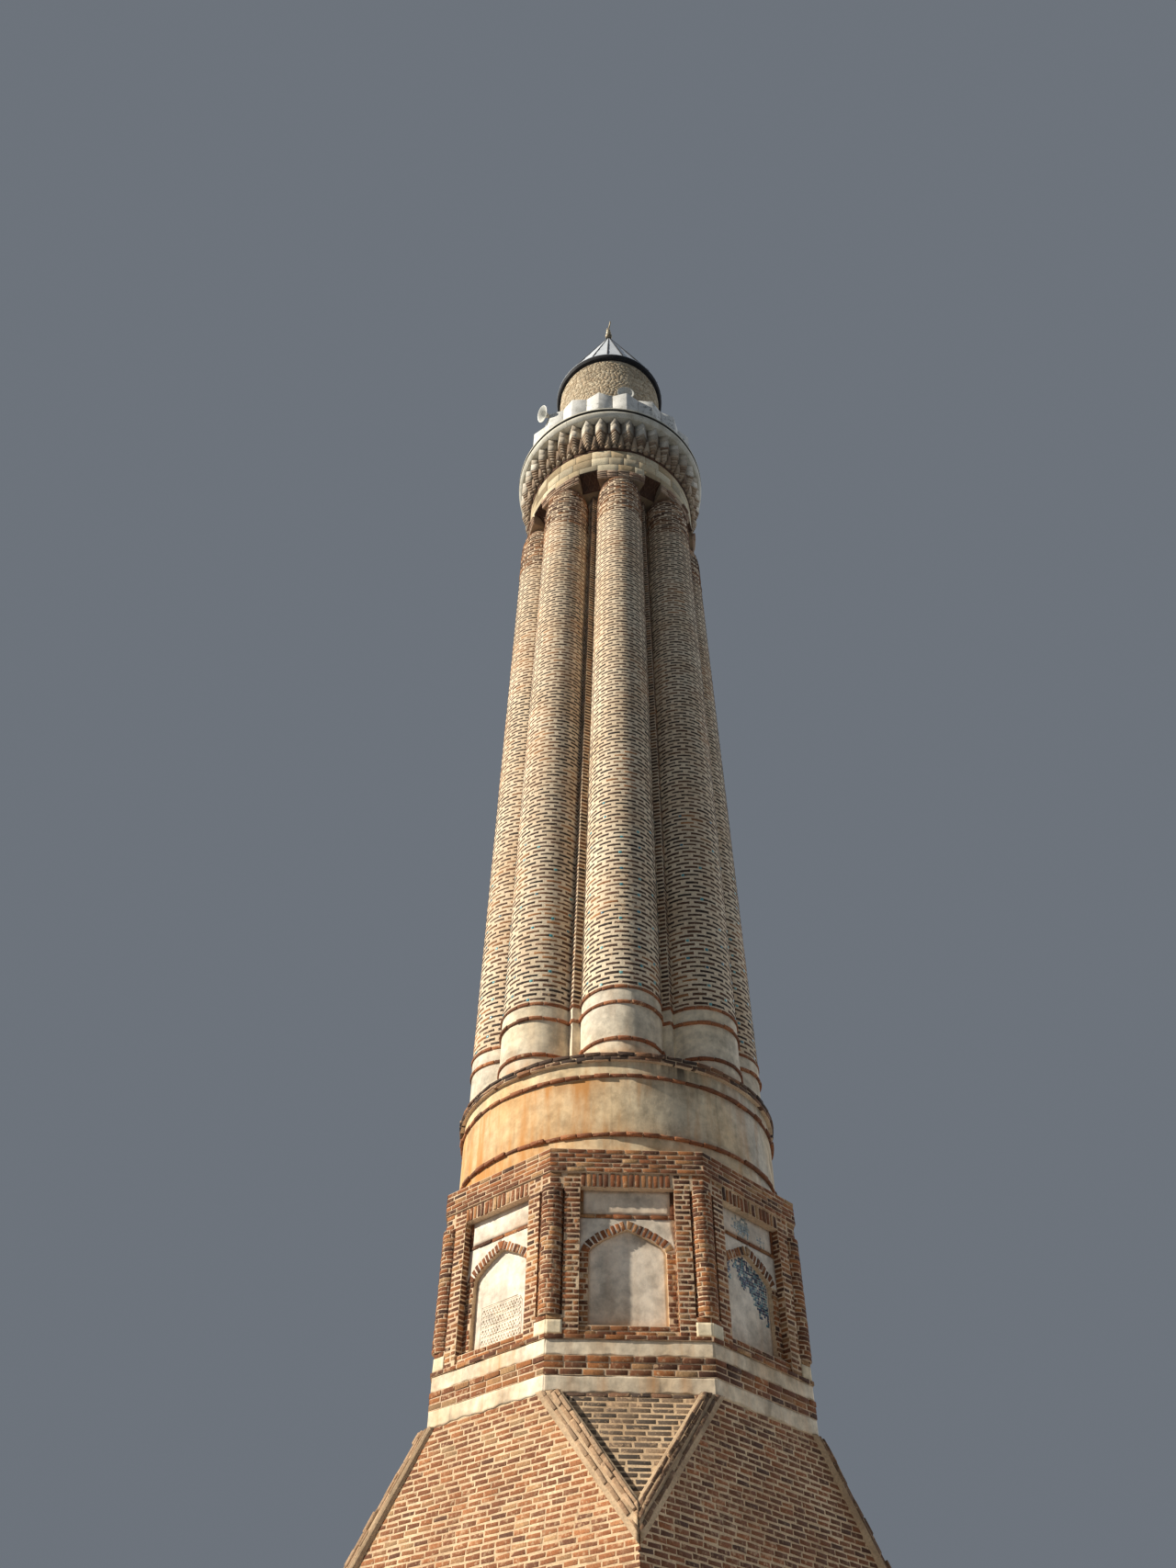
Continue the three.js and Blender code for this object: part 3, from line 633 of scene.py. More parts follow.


# Name, slot, smear of lime, dirt and painted shade, and colours by the tint that each brick or stone carries
BRICKS = [
    ("base_brick", "brick", 0.5, 0.4, [
        (0.0, (0.13, 0.05, 0.026)), (0.15, (0.21, 0.077, 0.032)), (0.55, (0.32, 0.115, 0.042)),
        (0.85, (0.40, 0.16, 0.062)), (1.0, (0.46, 0.27, 0.13))]),
    ("stage_brick", "brick", 0.35, 0.4, [
        (0.0, (0.09, 0.036, 0.018)), (0.2, (0.17, 0.058, 0.022)), (0.6, (0.30, 0.10, 0.032)),
        (0.85, (0.40, 0.155, 0.048)), (1.0, (0.44, 0.26, 0.12))]),
    ("flute_brick", "brick", 0.12, 0.3, [
        (0.0, (0.040, 0.026, 0.019)), (0.35, (0.085, 0.046, 0.029)), (0.7, (0.16, 0.075, 0.038)),
        (0.9, (0.30, 0.13, 0.05)), (1.0, (0.44, 0.21, 0.085))]),
    ("triangle_brick", "brick", 0.4, 0.5, [
        (0.0, (0.075, 0.055, 0.04)), (0.4, (0.15, 0.105, 0.07)), (0.8, (0.25, 0.16, 0.095)),
        (1.0, (0.36, 0.24, 0.14))]),
    ("rib_brick", "brick", 0.5, 0.3, [
        (0.0, (0.12, 0.065, 0.035)), (0.3, (0.26, 0.15, 0.085)), (0.5, (0.40, 0.25, 0.14)),
        (1.0, (0.54, 0.36, 0.22))]),
    ("string_brick", "brick", 0.1, 0.5, [
        (0.0, (0.20, 0.075, 0.032)), (0.5, (0.31, 0.11, 0.045)), (1.0, (0.40, 0.16, 0.065))]),
    ("coping_brick", "brick", 0.15, 0.5, [
        (0.0, (0.055, 0.036, 0.026)), (0.5, (0.14, 0.075, 0.045)), (1.0, (0.32, 0.15, 0.07))]),
    ("neck_brick", "brick", 0.3, 0.4, [
        (0.0, (0.34, 0.20, 0.13)), (0.5, (0.54, 0.36, 0.24)), (1.0, (0.70, 0.54, 0.38))]),
    ("corbel_course", "brick", 0.1, 0.8, [
        (0.0, (0.26, 0.17, 0.11)), (0.5, (0.44, 0.32, 0.21)), (1.0, (0.64, 0.52, 0.38))]),
    ("corbel_stone", "ashlar", 0.1, 0.8, [
        (0.0, (0.54, 0.46, 0.35)), (0.5, (0.70, 0.62, 0.49)), (1.0, (0.82, 0.76, 0.64))]),
    ("ashlar", "ashlar", 0.45, 0.5, [
        (0.0, (0.42, 0.31, 0.17)), (0.5, (0.60, 0.48, 0.29)), (1.0, (0.76, 0.67, 0.47))]),
    ("rubble", "ashlar", 0.2, 0.22, [
        (0.0, (0.50, 0.39, 0.25)), (0.4, (0.66, 0.54, 0.37)), (0.8, (0.78, 0.67, 0.48)),
        (1.0, (0.56, 0.42, 0.27))]),
]

# Name, slot, pale and dark colour, dirt, and whether the mesh adds clay brown with painted shade
MORTARS = [
    ("base_mortar", "brick", (0.76, 0.57, 0.36), (0.52, 0.35, 0.20), 0.45),
    ("rib_mortar", "brick", (0.62, 0.45, 0.28), (0.40, 0.27, 0.16), 0.5),
    ("stage_mortar", "brick", (0.76, 0.57, 0.37), (0.54, 0.36, 0.22), 0.4),
    ("flute_mortar", "brick", (0.82, 0.68, 0.49), (0.70, 0.53, 0.35), 0.15, True),
    ("recess_brick", "brick", (0.13, 0.060, 0.032), (0.055, 0.028, 0.018), 0.6),
    ("pocket_rib", "brick", (0.20, 0.105, 0.060), (0.10, 0.052, 0.032), 0.6),
    ("stone_mortar", "ashlar", (0.46, 0.34, 0.21), (0.27, 0.18, 0.11)),
    ("rubble_mortar", "ashlar", (0.66, 0.52, 0.35), (0.48, 0.36, 0.23)),
    ("floor_stone", "ashlar", (0.44, 0.38, 0.30), (0.30, 0.25, 0.19)),
]

# Name, slot, pale and ochre colour, rust and soot
PLASTERS = [
    ("band_plaster", "plaster", (0.88, 0.75, 0.56), (0.60, 0.44, 0.27), 0.25, 0.45),
    ("panel_plaster", "plaster", (0.82, 0.74, 0.62), (0.74, 0.63, 0.49), 0.1, 0.12),
    ("cream_plaster", "plaster", (0.80, 0.64, 0.40), (0.70, 0.46, 0.21), 0.45, 0.35),
    ("white_plaster", "plaster", (0.82, 0.70, 0.49), (0.76, 0.60, 0.37), 0.16, 0.2),
]

# Name, slot, pale and grey colour, dirt
MARBLES = [
    ("marble", "marble", (0.80, 0.79, 0.74), (0.56, 0.55, 0.50), 0.8),
    ("slab_stone", "marble", (0.74, 0.70, 0.58), (0.55, 0.50, 0.38), 0.7),
]

# Name, slot, pale and dark colour, roughness, metallic and spots
METALS = [
    ("lead", "lead", (0.80, 0.84, 0.88), (0.56, 0.60, 0.65), 0.5, 0.0, 0.2),
    # Near-black lead, partly painted shade, for the eave's soffit and the seams
    ("dark_lead", "lead", (0.016, 0.016, 0.020), (0.008, 0.008, 0.010), 0.8),
    ("gilt", "gilt", (0.55, 0.48, 0.35), (0.18, 0.14, 0.09), 0.5, 0.5),
    ("enamel", "enamel", (0.74, 0.74, 0.68), (0.50, 0.48, 0.42), 0.4),
]

# Name, slot and colours by tint
GLAZES = [
    ("square_glaze", "brick", [
        (0.0, (0.02, 0.10, 0.16)), (0.5, (0.04, 0.28, 0.33)), (1.0, (0.16, 0.42, 0.42))]),
    ("mosaic_glaze", "brick", [
        (0.0, (0.008, 0.012, 0.04)), (0.55, (0.02, 0.05, 0.13)), (0.7, (0.06, 0.20, 0.24)),
        (1.0, (0.20, 0.34, 0.34))]),
    ("faded_glaze", "brick", [
        (0.0, (0.10, 0.15, 0.17)), (0.5, (0.22, 0.29, 0.29)), (1.0, (0.42, 0.42, 0.36))]),
]

# Looks of solids that stay in view and aren't mortar behind bricks
NODE_LOOKS = {"neck_ring": "stone_mortar", "upper_shaft": "rubble_mortar", "ground_floor": "floor_stone"}

looks = {}
for make, rows in ((brick_material, BRICKS), (mortar_material, MORTARS), (plaster_material, PLASTERS),
                   (marble_material, MARBLES), (metal_material, METALS), (glaze_material, GLAZES)):
    for name, slot, *facts in rows:
        looks[name] = (make(name, *facts), slot)


# Meshes

def new_mesh(name, points, *face_groups):
    """Mesh object from points and groups of faces; in a group all faces have the same number of corners."""
    mesh = bpy.data.meshes.new(name)
    corners = np.concatenate([np.asarray(group).ravel() for group in face_groups]).astype(np.int32)
    sizes = np.concatenate([np.full(len(group), len(group[0])) for group in face_groups])
    starts = np.concatenate([[0], np.cumsum(sizes)[:-1]]).astype(np.int32)
    mesh.vertices.add(len(points))
    mesh.vertices.foreach_set("co", np.asarray(points, np.float32).ravel())
    mesh.loops.add(len(corners))
    mesh.loops.foreach_set("vertex_index", corners)
    mesh.polygons.add(len(sizes))
    mesh.polygons.foreach_set("loop_start", starts)
    mesh.update(calc_edges=True)
    mesh.validate()
    piece = bpy.data.objects.new(name, mesh)
    bpy.context.scene.collection.objects.link(piece)
    return piece


def places_of(piece):
    return np.array([vertex.co for vertex in piece.data.vertices])


def ring_faces(around, up, closed=False):
    """Quads of a grid of rings, each closed on itself; the last ring may lead back to the first."""
    column, row = np.meshgrid(np.arange(around), np.arange(up if closed else up - 1))
    following = (column + 1) % around
    low, high = row * around, (row + 1) % up * around
    return np.stack([low + column, low + following, high + following, high + column], -1).reshape(-1, 4)


def revolve(name, profile, around, closed=True, stones=0):
    """Body turned about the axis from (radius, level) points, cut by fine joints into so many stones."""
    turn = np.linspace(0, 2 * math.pi, around, endpoint=False)
    joint = np.zeros(around)
    if stones:
        steps = np.linspace(0, 1, around // stones + 1)[1:-1]
        stone = np.concatenate([[0, STONE_EDGE], steps, [1 - STONE_EDGE]])
        turn = (np.arange(stones)[:, None] + stone).ravel() * 2 * math.pi / stones
        joint = np.tile(np.where(stone == 0, STONE_JOINT, 0.0), stones)
    rings = []
    for radius, level in profile:
        reach = radius - joint * (radius > WELL_RADIUS)
        rings.append(points_of(reach * np.cos(turn), reach * np.sin(turn), level + 0 * turn))
    return new_mesh(name, np.vstack(rings), ring_faces(len(turn), len(profile), closed))


def tubes(name, paths, sides=10):
    """Round bars, each along a path of points with a radius at each point."""
    points, quads, caps = [], [], []
    for path, radii in paths:
        start = len(points)
        side = (path[1] - path[0]).orthogonal()
        for i, (point, radius) in enumerate(zip(path, radii)):
            along = (path[min(i + 1, len(path) - 1)] - path[max(i - 1, 0)]).normalized()
            side = (side - along * side.dot(along)).normalized()
            other = along.cross(side)
            for j in range(sides):
                turn = 2 * math.pi * j / sides
                points.append(point + radius * (side * math.cos(turn) + other * math.sin(turn)))
        quads.append(ring_faces(sides, len(path)) + start)
        caps.append(np.arange(sides)[::-1] + start)
        caps.append(np.arange(sides) + len(points) - sides)
    return new_mesh(name, np.array(points), np.vstack(quads), np.array(caps))


def shade_points(piece, red, green, blue=0.0):
    """Colour carried by the mesh's points, for Shader.painted()."""
    values = np.ones((len(piece.data.vertices), 4), np.float32)
    for channel, value in enumerate((red, green, blue)):
        values[:, channel] = value
    attribute = piece.data.color_attributes.new("shade", "FLOAT_COLOR", "POINT")
    attribute.data.foreach_set("color", values.ravel())


def dress(piece, look, smooth_angle=None):
    """Material and body for a finished piece."""
    material, slot = looks[look]
    piece.data.materials.append(material)
    if smooth_angle is not None:
        piece.data.shade_smooth()
        piece.data.set_sharp_from_angle(angle=math.radians(smooth_angle))
    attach(piece, "root")
    return piece


class Masonry:
    """Bricks or stones laid on surfaces and gathered into one mesh."""

    def __init__(self):
        self.points = []
        self.faces = []
        self.shades = []
        self.count = 0

    def lay(self, rects, surface, proud=0.008, ragged=0.003, chamfer=0.004, bend=1, sink=0.012, tilt=0.002,
            tint=(0.0, 1.0), dirt=0.0):
        """Blocks over rectangles (left, right, low, high), bent in so many straight lengths."""
        rects = np.asarray(rects, float).reshape(-1, 4)
        total = len(rects)
        if not total:
            return
        columns = bend + 1
        share = np.concatenate([np.linspace(0, 1, columns), np.linspace(1, 0, columns)])
        upper = np.repeat([0.0, 1.0], columns)
        inward_u = np.where(share == 0, 1.0, np.where(share == 1, -1.0, 0.0))
        inward_v = 1 - 2 * upper
        corner = rng.uniform(-ragged, ragged, (total, 2, 2, 2))
        slip = 0
        for side, level in ((0, 0), (1, 0), (0, 1), (1, 1)):
            weight = (share if side else 1 - share) * (upper if level else 1 - upper)
            slip = slip + weight * corner[:, side, level, :, None]
        u = rects[:, 0:1] + (rects[:, 1:2] - rects[:, 0:1]) * share + slip[:, 0]
        v = rects[:, 2:3] + (rects[:, 3:4] - rects[:, 2:3]) * upper + slip[:, 1]
        lean = rng.uniform(-tilt, tilt, (total, 2, 1))
        face = proud * rng.uniform(0.6, 1.2, (total, 1))
        face = face + lean[:, 0] * (share - 0.5) + lean[:, 1] * (upper - 0.5)
        rings = [
            surface(u, v, np.full_like(u, -sink)),
            surface(u, v, face - 0.7 * chamfer),
            surface(u + chamfer * inward_u, v + chamfer * inward_v, face),
        ]
        around = 2 * columns
        quads = [ring_faces(around, len(rings))]
        for i in range(bend):
            last = 2 * around + i
            quads.append([(last, last + 1, 3 * around - 2 - i, 3 * around - 1 - i)])
            quads.append([(around - 1 - i, around - 2 - i, i + 1, i)])
        starts = self.count + np.arange(total)[:, None, None] * 3 * around
        self.points.append(np.stack(rings, 1).reshape(-1, 3))
        self.faces.append((np.vstack(quads)[None] + starts).reshape(-1, 4))
        shades = np.stack([rng.uniform(*tint, total), np.clip(rng.uniform(0, 1, total) + dirt, 0, 1)], 1)
        self.shades.append(np.repeat(shades, 3 * around, 0))
        self.count += total * 3 * around

    def run(self, surface, low, high, limits, length=BRICK_LENGTH, height=BRICK_HEIGHT, bed=BED_JOINT,
            joint=HEAD_JOINT, wander=0.018, shortest=0.035, **finish):
        """Running bond between two levels, over spans (left, right) that may depend on the level."""
        count = max(1, round((high - low) / (height + bed)))
        pitch = (high - low) / count
        height = pitch - bed
        rects = []
        for row in range(count):
            level = low + (row + 0.5) * pitch
            for left, right in limits(level) if callable(limits) else limits:
                at = left - (length + joint) * (0.5 * (row % 2) + rng.uniform(-0.1, 0.1))
                if row % 2 == 0:
                    at = left - rng.uniform(0, 0.3) * length
                while at < right:
                    end = at + length + rng.uniform(-wander, wander)
                    start, stop = max(at, left), min(end, right)
                    if stop - start > shortest:
                        rise = rng.uniform(-0.002, 0.002)
                        rects.append((start, stop, level - height / 2 + rise, level + height / 2 + rise))
                    at = end + joint * rng.uniform(0.7, 1.3)
        self.lay(rects, surface, **finish)

    def add(self, points, faces, red, green):
        """Points with their faces and the two shades that they carry."""
        self.points.append(points)
        self.faces.append(np.asarray(faces) + self.count)
        self.shades.append(np.stack(np.broadcast_arrays(red, green, np.zeros(len(points)))[:2], 1))
        self.count += len(points)

    def patch(self, surface, u, v, w, sink=0.01, red=0.0, green=0.0):
        """Skin over a grid, with an edge that runs back into the wall."""
        rows, columns = u.shape
        shades = [np.pad(np.broadcast_to(shade, u.shape), 1, mode="edge").ravel() for shade in (red, green)]
        u = np.pad(u, 1, mode="edge")
        v = np.pad(v, 1, mode="edge")
        w = np.pad(w, 1, constant_values=-sink)
        column, row = np.meshgrid(np.arange(columns + 1), np.arange(rows + 1))
        is_corner = ((column == 0) | (column == columns)) & ((row == 0) | (row == rows))
        low = (row * (columns + 2) + column)[~is_corner]
        high = low + columns + 2
        self.add(surface(u, v, w).reshape(-1, 3), np.stack([low, low + 1, high + 1, high], -1), *shades)

    def strip(self, surface, start, end, half, limit, proud=0.014):
        """Thin rib on a surface between two points, kept within a limit across."""
        share = np.linspace(0, 1, 4)[:, None]
        across = np.clip(start[0] + (end[0] - start[0]) * share + np.array([[-half, half]]), -limit, limit)
        if np.ptp(across[:, 0]) < half:
            return
        up = start[1] + (end[1] - start[1]) * share + 0 * across
        self.patch(surface, across, up, np.full_like(across, proud), sink=0.002, red=rng.uniform())

    def ribbon(self, surface, path, half, proud):
        """Raised band along a path of (across, level) points."""
        along = np.gradient(path, axis=0)
        along /= np.hypot(along[:, 0], along[:, 1])[:, None]
        share = np.array([1.0, 0.5, -0.5, -1.0])
        across = path[:, 0:1] - half * along[:, 1:2] * share
        up = path[:, 1:2] + half * along[:, 0:1] * share
        height = np.broadcast_to(proud, len(path))[:, None] * np.array([0.75, 1.0, 1.0, 0.75])
        self.patch(surface, across.T[::-1], up.T[::-1], height.T[::-1], sink=0.002)

    def wedge(self, angle, tip, back, low, high, half=None, chamfer=0.006):
        """Upright prism with a sharp front edge, with painted shade on its counterclockwise face and at its
        back.
        """
        half = half or 0.97 * (tip - back)
        tip += rng.uniform(-0.004, 0.004)
        angle += rng.uniform(-0.0012, 0.0012)
        rings = []
        for level, inset in ((low, chamfer), (low + chamfer, 0), (high - chamfer, 0), (high, chamfer)):
            x = np.array([tip - 1.4 * inset, back, back - 0.05, back])
            rings.append(placed(x, np.array([0, half - inset, 0, inset - half]), level, angle))
        caps = np.array([(3, 2, 1, 0), (12, 13, 14, 15)])
        # Painted shade: soot-dark grows towards the counterclockwise face and the back
        dirt = rng.uniform(0.85, 1.0) * np.tile([0.72, 1.0, 1.0, 0.4], 4)
        self.add(np.vstack(rings), np.vstack([ring_faces(4, 4), caps]), rng.uniform(), dirt)

    def build(self, name, look):
        used, faces = np.unique(np.vstack(self.faces), return_inverse=True)
        piece = new_mesh(name, np.vstack(self.points)[used], faces.reshape(-1, 4))
        shades = np.vstack(self.shades)[used]
        shade_points(piece, shades[:, 0], shades[:, 1])
        return dress(piece, look)


def both_sides(inner, outer):
    """Spans at the left and the right of a middle."""
    return [(-outer, -inner), (inner, outer)]


def side_of_face(apothem):
    """Span of an octagon's side, which laps a little over its corners."""
    half = apothem * math.tan(EIGHTH / 2) + LAP
    return [(-half, half)]


# Square base

def add_base_bricks():
    """Running bond on the four walls, and larger bricks with a cap on the sloping triangles."""
    def wall_limits(level):
        half = APOTHEM + LAP
        if level > CHAMFER_APEX:
            share = (level - CHAMFER_APEX) / (BASE_TOP - CHAMFER_APEX)
            half = APOTHEM + (HALF_SIDE - APOTHEM) * share - RIB_MARGIN
        return [(-half, half)]

    def door_limits(level):
        _, half = wall_limits(level)[0]
        return both_sides(DOOR_HALF_WIDTH + 0.01, half) if level < DOOR_TOP else [(-half, half)]

    for number, name in enumerate(["east", "north", "west", "south"]):
        bricks = Masonry()
        # Painted shade: the east and north walls get darker bricks and more soot-dark
        is_painted_shaded = name in ("east", "north")
        tint, dirt = ((0.0, 0.62), 0.35) if is_painted_shaded else ((0.08, 1.0), 0.0)
        limits = door_limits if name == "north" else wall_limits
        bricks.run(flat_face(number * math.pi / 2, APOTHEM), 0.01, BASE_TOP - 0.004, limits, proud=0.0045,
                   ragged=0.0055, chamfer=0.006, tint=tint, dirt=dirt)
        bricks.build(f"base_bricks_{name}", "base_brick")
    run = 1 / math.cos(CHAMFER_TILT)
    slope_length = (BASE_TOP - CHAMFER_APEX) * run

    def triangle_limits(level):
        half = HALF_SIDE * (1 + (level - BASE_TOP) / slope_length) - RIB_MARGIN - 0.01
        return [(-half, half)] if half > 0.05 else []

    bricks = Masonry()
    caps = Masonry()
    corners = [EIGHTH + number * math.pi / 2 for number in range(4)]
    for angle in corners:
        bricks.run(stretched(chamfer_face(angle), 1 / run), BASE_TOP - slope_length, BASE_TOP - 0.05,
                   triangle_limits, length=0.225, height=0.055, bed=0.025, joint=0.026, proud=0.004,
                   ragged=0.005, chamfer=0.005, dirt=0.2)
    bricks.build("corner_triangle_bricks", "triangle_brick")
    for angle in corners:
        caps.run(chamfer_face(angle), BASE_TOP - 0.046, BASE_TOP - 0.004,
                 [(-HALF_SIDE + 0.03, HALF_SIDE - 0.03)], height=0.04, bed=0.003, proud=0.012, ragged=0.004)
    caps.build("triangle_cap_bricks", "coping_brick")


def add_corner_ribs():
    """Stepped ribs of brick along the slanting edges of the corner triangles; they meet on the corner."""
    length = math.hypot(APOTHEM - HALF_SIDE, BASE_TOP - CHAMFER_APEX)
    bars = Masonry()
    beds = Masonry()
    for corner in range(4):
        for side in (-1, 1):
            face = rib_face(corner, side)
            along, across = np.meshgrid(np.linspace(-RIB_TAIL, length + 0.1, 30), side * np.array(RIB_BED))
            if side < 0:
                along, across = along[::-1], across[::-1]
            beds.patch(face, along, across, np.full_like(along, RIB_BED_PROUD), sink=0.06)
            # Painted shade: ribs on the sides turned from the key light get darker bricks
            is_painted_shade_side = (corner * 2 + side) % 8 in (7, 1, 3)
            for inner, outer, proud in RIB_BARS:
                low, high = sorted((side * inner, side * outer))
                at = -RIB_TAIL + rng.uniform(0, 0.1)
                rects = []
                while at < length + 0.05:
                    end = at + rng.uniform(0.17, 0.24)
                    rects.append((at, end, low, high))
                    at = end + rng.uniform(0.005, 0.011)
                bars.lay(rects, face, proud=proud, ragged=0.006, chamfer=0.007, sink=0.03, tilt=0.006,
                         tint=(0.0, 0.3) if is_painted_shade_side else (0.35, 1.0))
    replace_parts(beds.build("rib_mortar", "rib_mortar"), "corner_moulding_north_east",
                "corner_moulding_north_west", "corner_moulding_south_west", "corner_moulding_south_east")
    bars.build("rib_bricks", "rib_brick")


# Octagonal stage

def add_band_bricks():
    """Brick band of three courses, thin sill course and cornice."""
    bricks = Masonry()
    pitch = (BAND_TOP - BAND_BOTTOM) / 3
    for number in range(SIDES):
        angle = number * EIGHTH
        for row in range(3):
            low = BAND_BOTTOM + row * pitch
            # The two lower courses are darker than the proud top one
            proud, dirt = (0.014, 0.0) if row == 2 else (0.004, 0.2)
            bricks.run(flat_face(angle, BAND_APOTHEM), low, low + pitch, side_of_face(BAND_APOTHEM),
                       length=0.235, bed=0.014, proud=proud, dirt=dirt)
        bricks.run(flat_face(angle, SILL_APOTHEM), SILL_BOTTOM, STAGE_BOTTOM, side_of_face(SILL_APOTHEM),
                   length=0.21, bed=0.003, proud=0.006)
        bricks.run(flat_face(angle, CORNICE_APOTHEM), STAGE_TOP, CORNICE_TOP, side_of_face(CORNICE_APOTHEM),
                   bed=0.017)
    bricks.build("band_bricks", "stage_brick")


def add_stage_bricks():
    """Pilasters, blocks, niches with their pointed arches, and round columns at the corners."""
    bricks = Masonry()
    columns = Masonry()
    corner = HALF_SIDE + LAP
    niche = [(-NICHE_HALF_WIDTH, NICHE_HALF_WIDTH)]
    column_half = 0.66 * math.pi * COLONNETTE_RADIUS
    for number in range(SIDES):
        angle = number * EIGHTH
        face = flat_face(angle, APOTHEM)
        recess = flat_face(angle, APOTHEM - NICHE_DEPTH)
        bricks.run(face, STAGE_BOTTOM, STAGE_TOP, both_sides(*PILASTER), length=0.185, bed=0.023, wander=0.05,
                   proud=0.005, ragged=0.004, chamfer=0.005)
        bricks.run(face, COLONNETTE_TOP, STAGE_TOP, both_sides(CAPITAL_EDGE, corner))
        bricks.run(face, FOOTING_BOTTOM, COLONNETTE_BOTTOM, both_sides(FOOTING_EDGE, corner), bed=0.01,
                   proud=0.012)
        soldiers = []
        at = -NICHE_HALF_WIDTH + 0.01
        while at < NICHE_HALF_WIDTH - 0.04:
            end = at + rng.uniform(0.042, 0.056)
            low = NICHE_TOP + rng.uniform(0.0, 0.012)
            soldiers.append((at, end, low, STAGE_TOP - rng.uniform(0.01, 0.03)))
            at = end + rng.uniform(0.018, 0.032)
        bricks.lay(soldiers, face, ragged=0.006, proud=0.012)
        bricks.run(flat_face(angle, APOTHEM - 0.03), STAGE_BOTTOM, PANEL_BOTTOM, niche, proud=0.01)
        bricks.run(recess, NICHE_STRING, NICHE_STRING + 0.04, niche, bed=0.002, proud=0.022)
        bricks.run(recess, PANEL_BOTTOM, PANEL_SPRING, both_sides(PANEL_HALF_WIDTH, NICHE_HALF_WIDTH),
                   length=0.11, wander=0.008, proud=0.01)
        strips = [(*span, *levels) for span in both_sides(*SIDE_STRIP) for levels in SIDE_STRIPS]
        bricks.lay(strips, recess, proud=0.02)
        for side in (-1, 1):
            bricks.run(reveal_face(angle, side), STAGE_BOTTOM, STAGE_TOP - 0.18, [(-0.052, 0.052)],
                       length=0.2, proud=0.004)
        voussoirs = []
        at = 0.004
        while at < ARCH_RUN[-1] - 0.03:
            end = at + rng.uniform(0.038, 0.047)
            voussoirs.append((at, end, 0.0, VOUSSOIR + rng.uniform(-0.006, 0.008)))
            at = end + rng.uniform(0.016, 0.022)
        bricks.lay(voussoirs, arch_face(angle, APOTHEM - NICHE_DEPTH), proud=0.016)
        corner_angle = angle + EIGHTH / 2
        centre = (COLONNETTE_CENTRE * math.cos(corner_angle), COLONNETTE_CENTRE * math.sin(corner_angle))
        columns.run(round_face(COLONNETTE_RADIUS, centre, corner_angle), COLONNETTE_BOTTOM, COLONNETTE_TOP,
                    [(-column_half, column_half)], length=0.17, bed=0.014, wander=0.04, proud=0.006, bend=4,
                    ragged=0.005)
    bricks.build("stage_bricks", "stage_brick")
    columns.build("colonnette_bricks", "stage_brick")


# Plaster and mosaic

def waves(u, v, size):
    """Gentle unevenness of hand-laid plaster."""
    phase = rng.uniform(0, 2 * math.pi, 4)
    rough = np.sin(7 * u + 3 * v + phase[0]) + np.sin(4 * u - 11 * v + phase[1])
    rough += 0.6 * np.sin(19 * u + 13 * v + phase[2]) + 0.4 * np.sin(37 * u - 29 * v + phase[3])
    return size * rough / 3


def plaster_skin(skins, surface, left, right, levels, columns, proud=0.006, rust=0.0, soot=0.0):
    """Uneven plaster between two sides, which may depend on the level; it darkens from its foot."""
    share = np.linspace(0, 1, columns)
    left, right = (side(levels)[:, None] if callable(side) else side for side in (left, right))
    across = left * (1 - share) + right * share + 0 * levels[:, None]
    up = np.repeat(levels[:, None], columns, 1)
    height = up - levels[0]
    skins.patch(surface, across, up, proud + waves(across, up, 0.003), red=rust * np.exp(-height / 0.10),
                green=soot * np.exp(-height / 0.05))


def add_niche_plaster():
    """Plaster in the niches, over their arches and in the panels above them, and the corner blocks."""
    skins = Masonry()
    blocks = Masonry()
    panel_levels = np.linspace(PANEL_BOTTOM, PANEL_APEX - 0.003, 44)
    arch_levels = np.linspace(PANEL_SPRING + 0.02, NICHE_STRING, 20)
    upper_levels = np.linspace(*UPPER_PANEL, 8)
    block_levels = np.linspace(STAGE_BOTTOM + 0.003, FOOTING_BOTTOM - 0.004, 6)
    for number in range(SIDES):
        angle = number * EIGHTH
        panel = flat_face(angle, APOTHEM - NICHE_DEPTH - PANEL_DEPTH)
        recess = flat_face(angle, APOTHEM - NICHE_DEPTH)
        plaster_skin(skins, panel, lambda v: -arch_half(v), arch_half, panel_levels, 24, rust=0.55, soot=0.3)
        plaster_skin(skins, recess, -NICHE_HALF_WIDTH, lambda v: -arch_half(v), arch_levels, 10)
        plaster_skin(skins, recess, arch_half, NICHE_HALF_WIDTH, arch_levels, 10)
        plaster_skin(skins, recess, -UPPER_PANEL_HALF, UPPER_PANEL_HALF, upper_levels, 24, rust=0.3)
        for left, right in both_sides(BLOCK_EDGE, HALF_SIDE + LAP):
            plaster_skin(blocks, flat_face(angle, APOTHEM), left, right, block_levels, 8, proud=0.012)
    skins.build("niche_plaster", "panel_plaster")
    blocks.build("corner_blocks", "white_plaster")


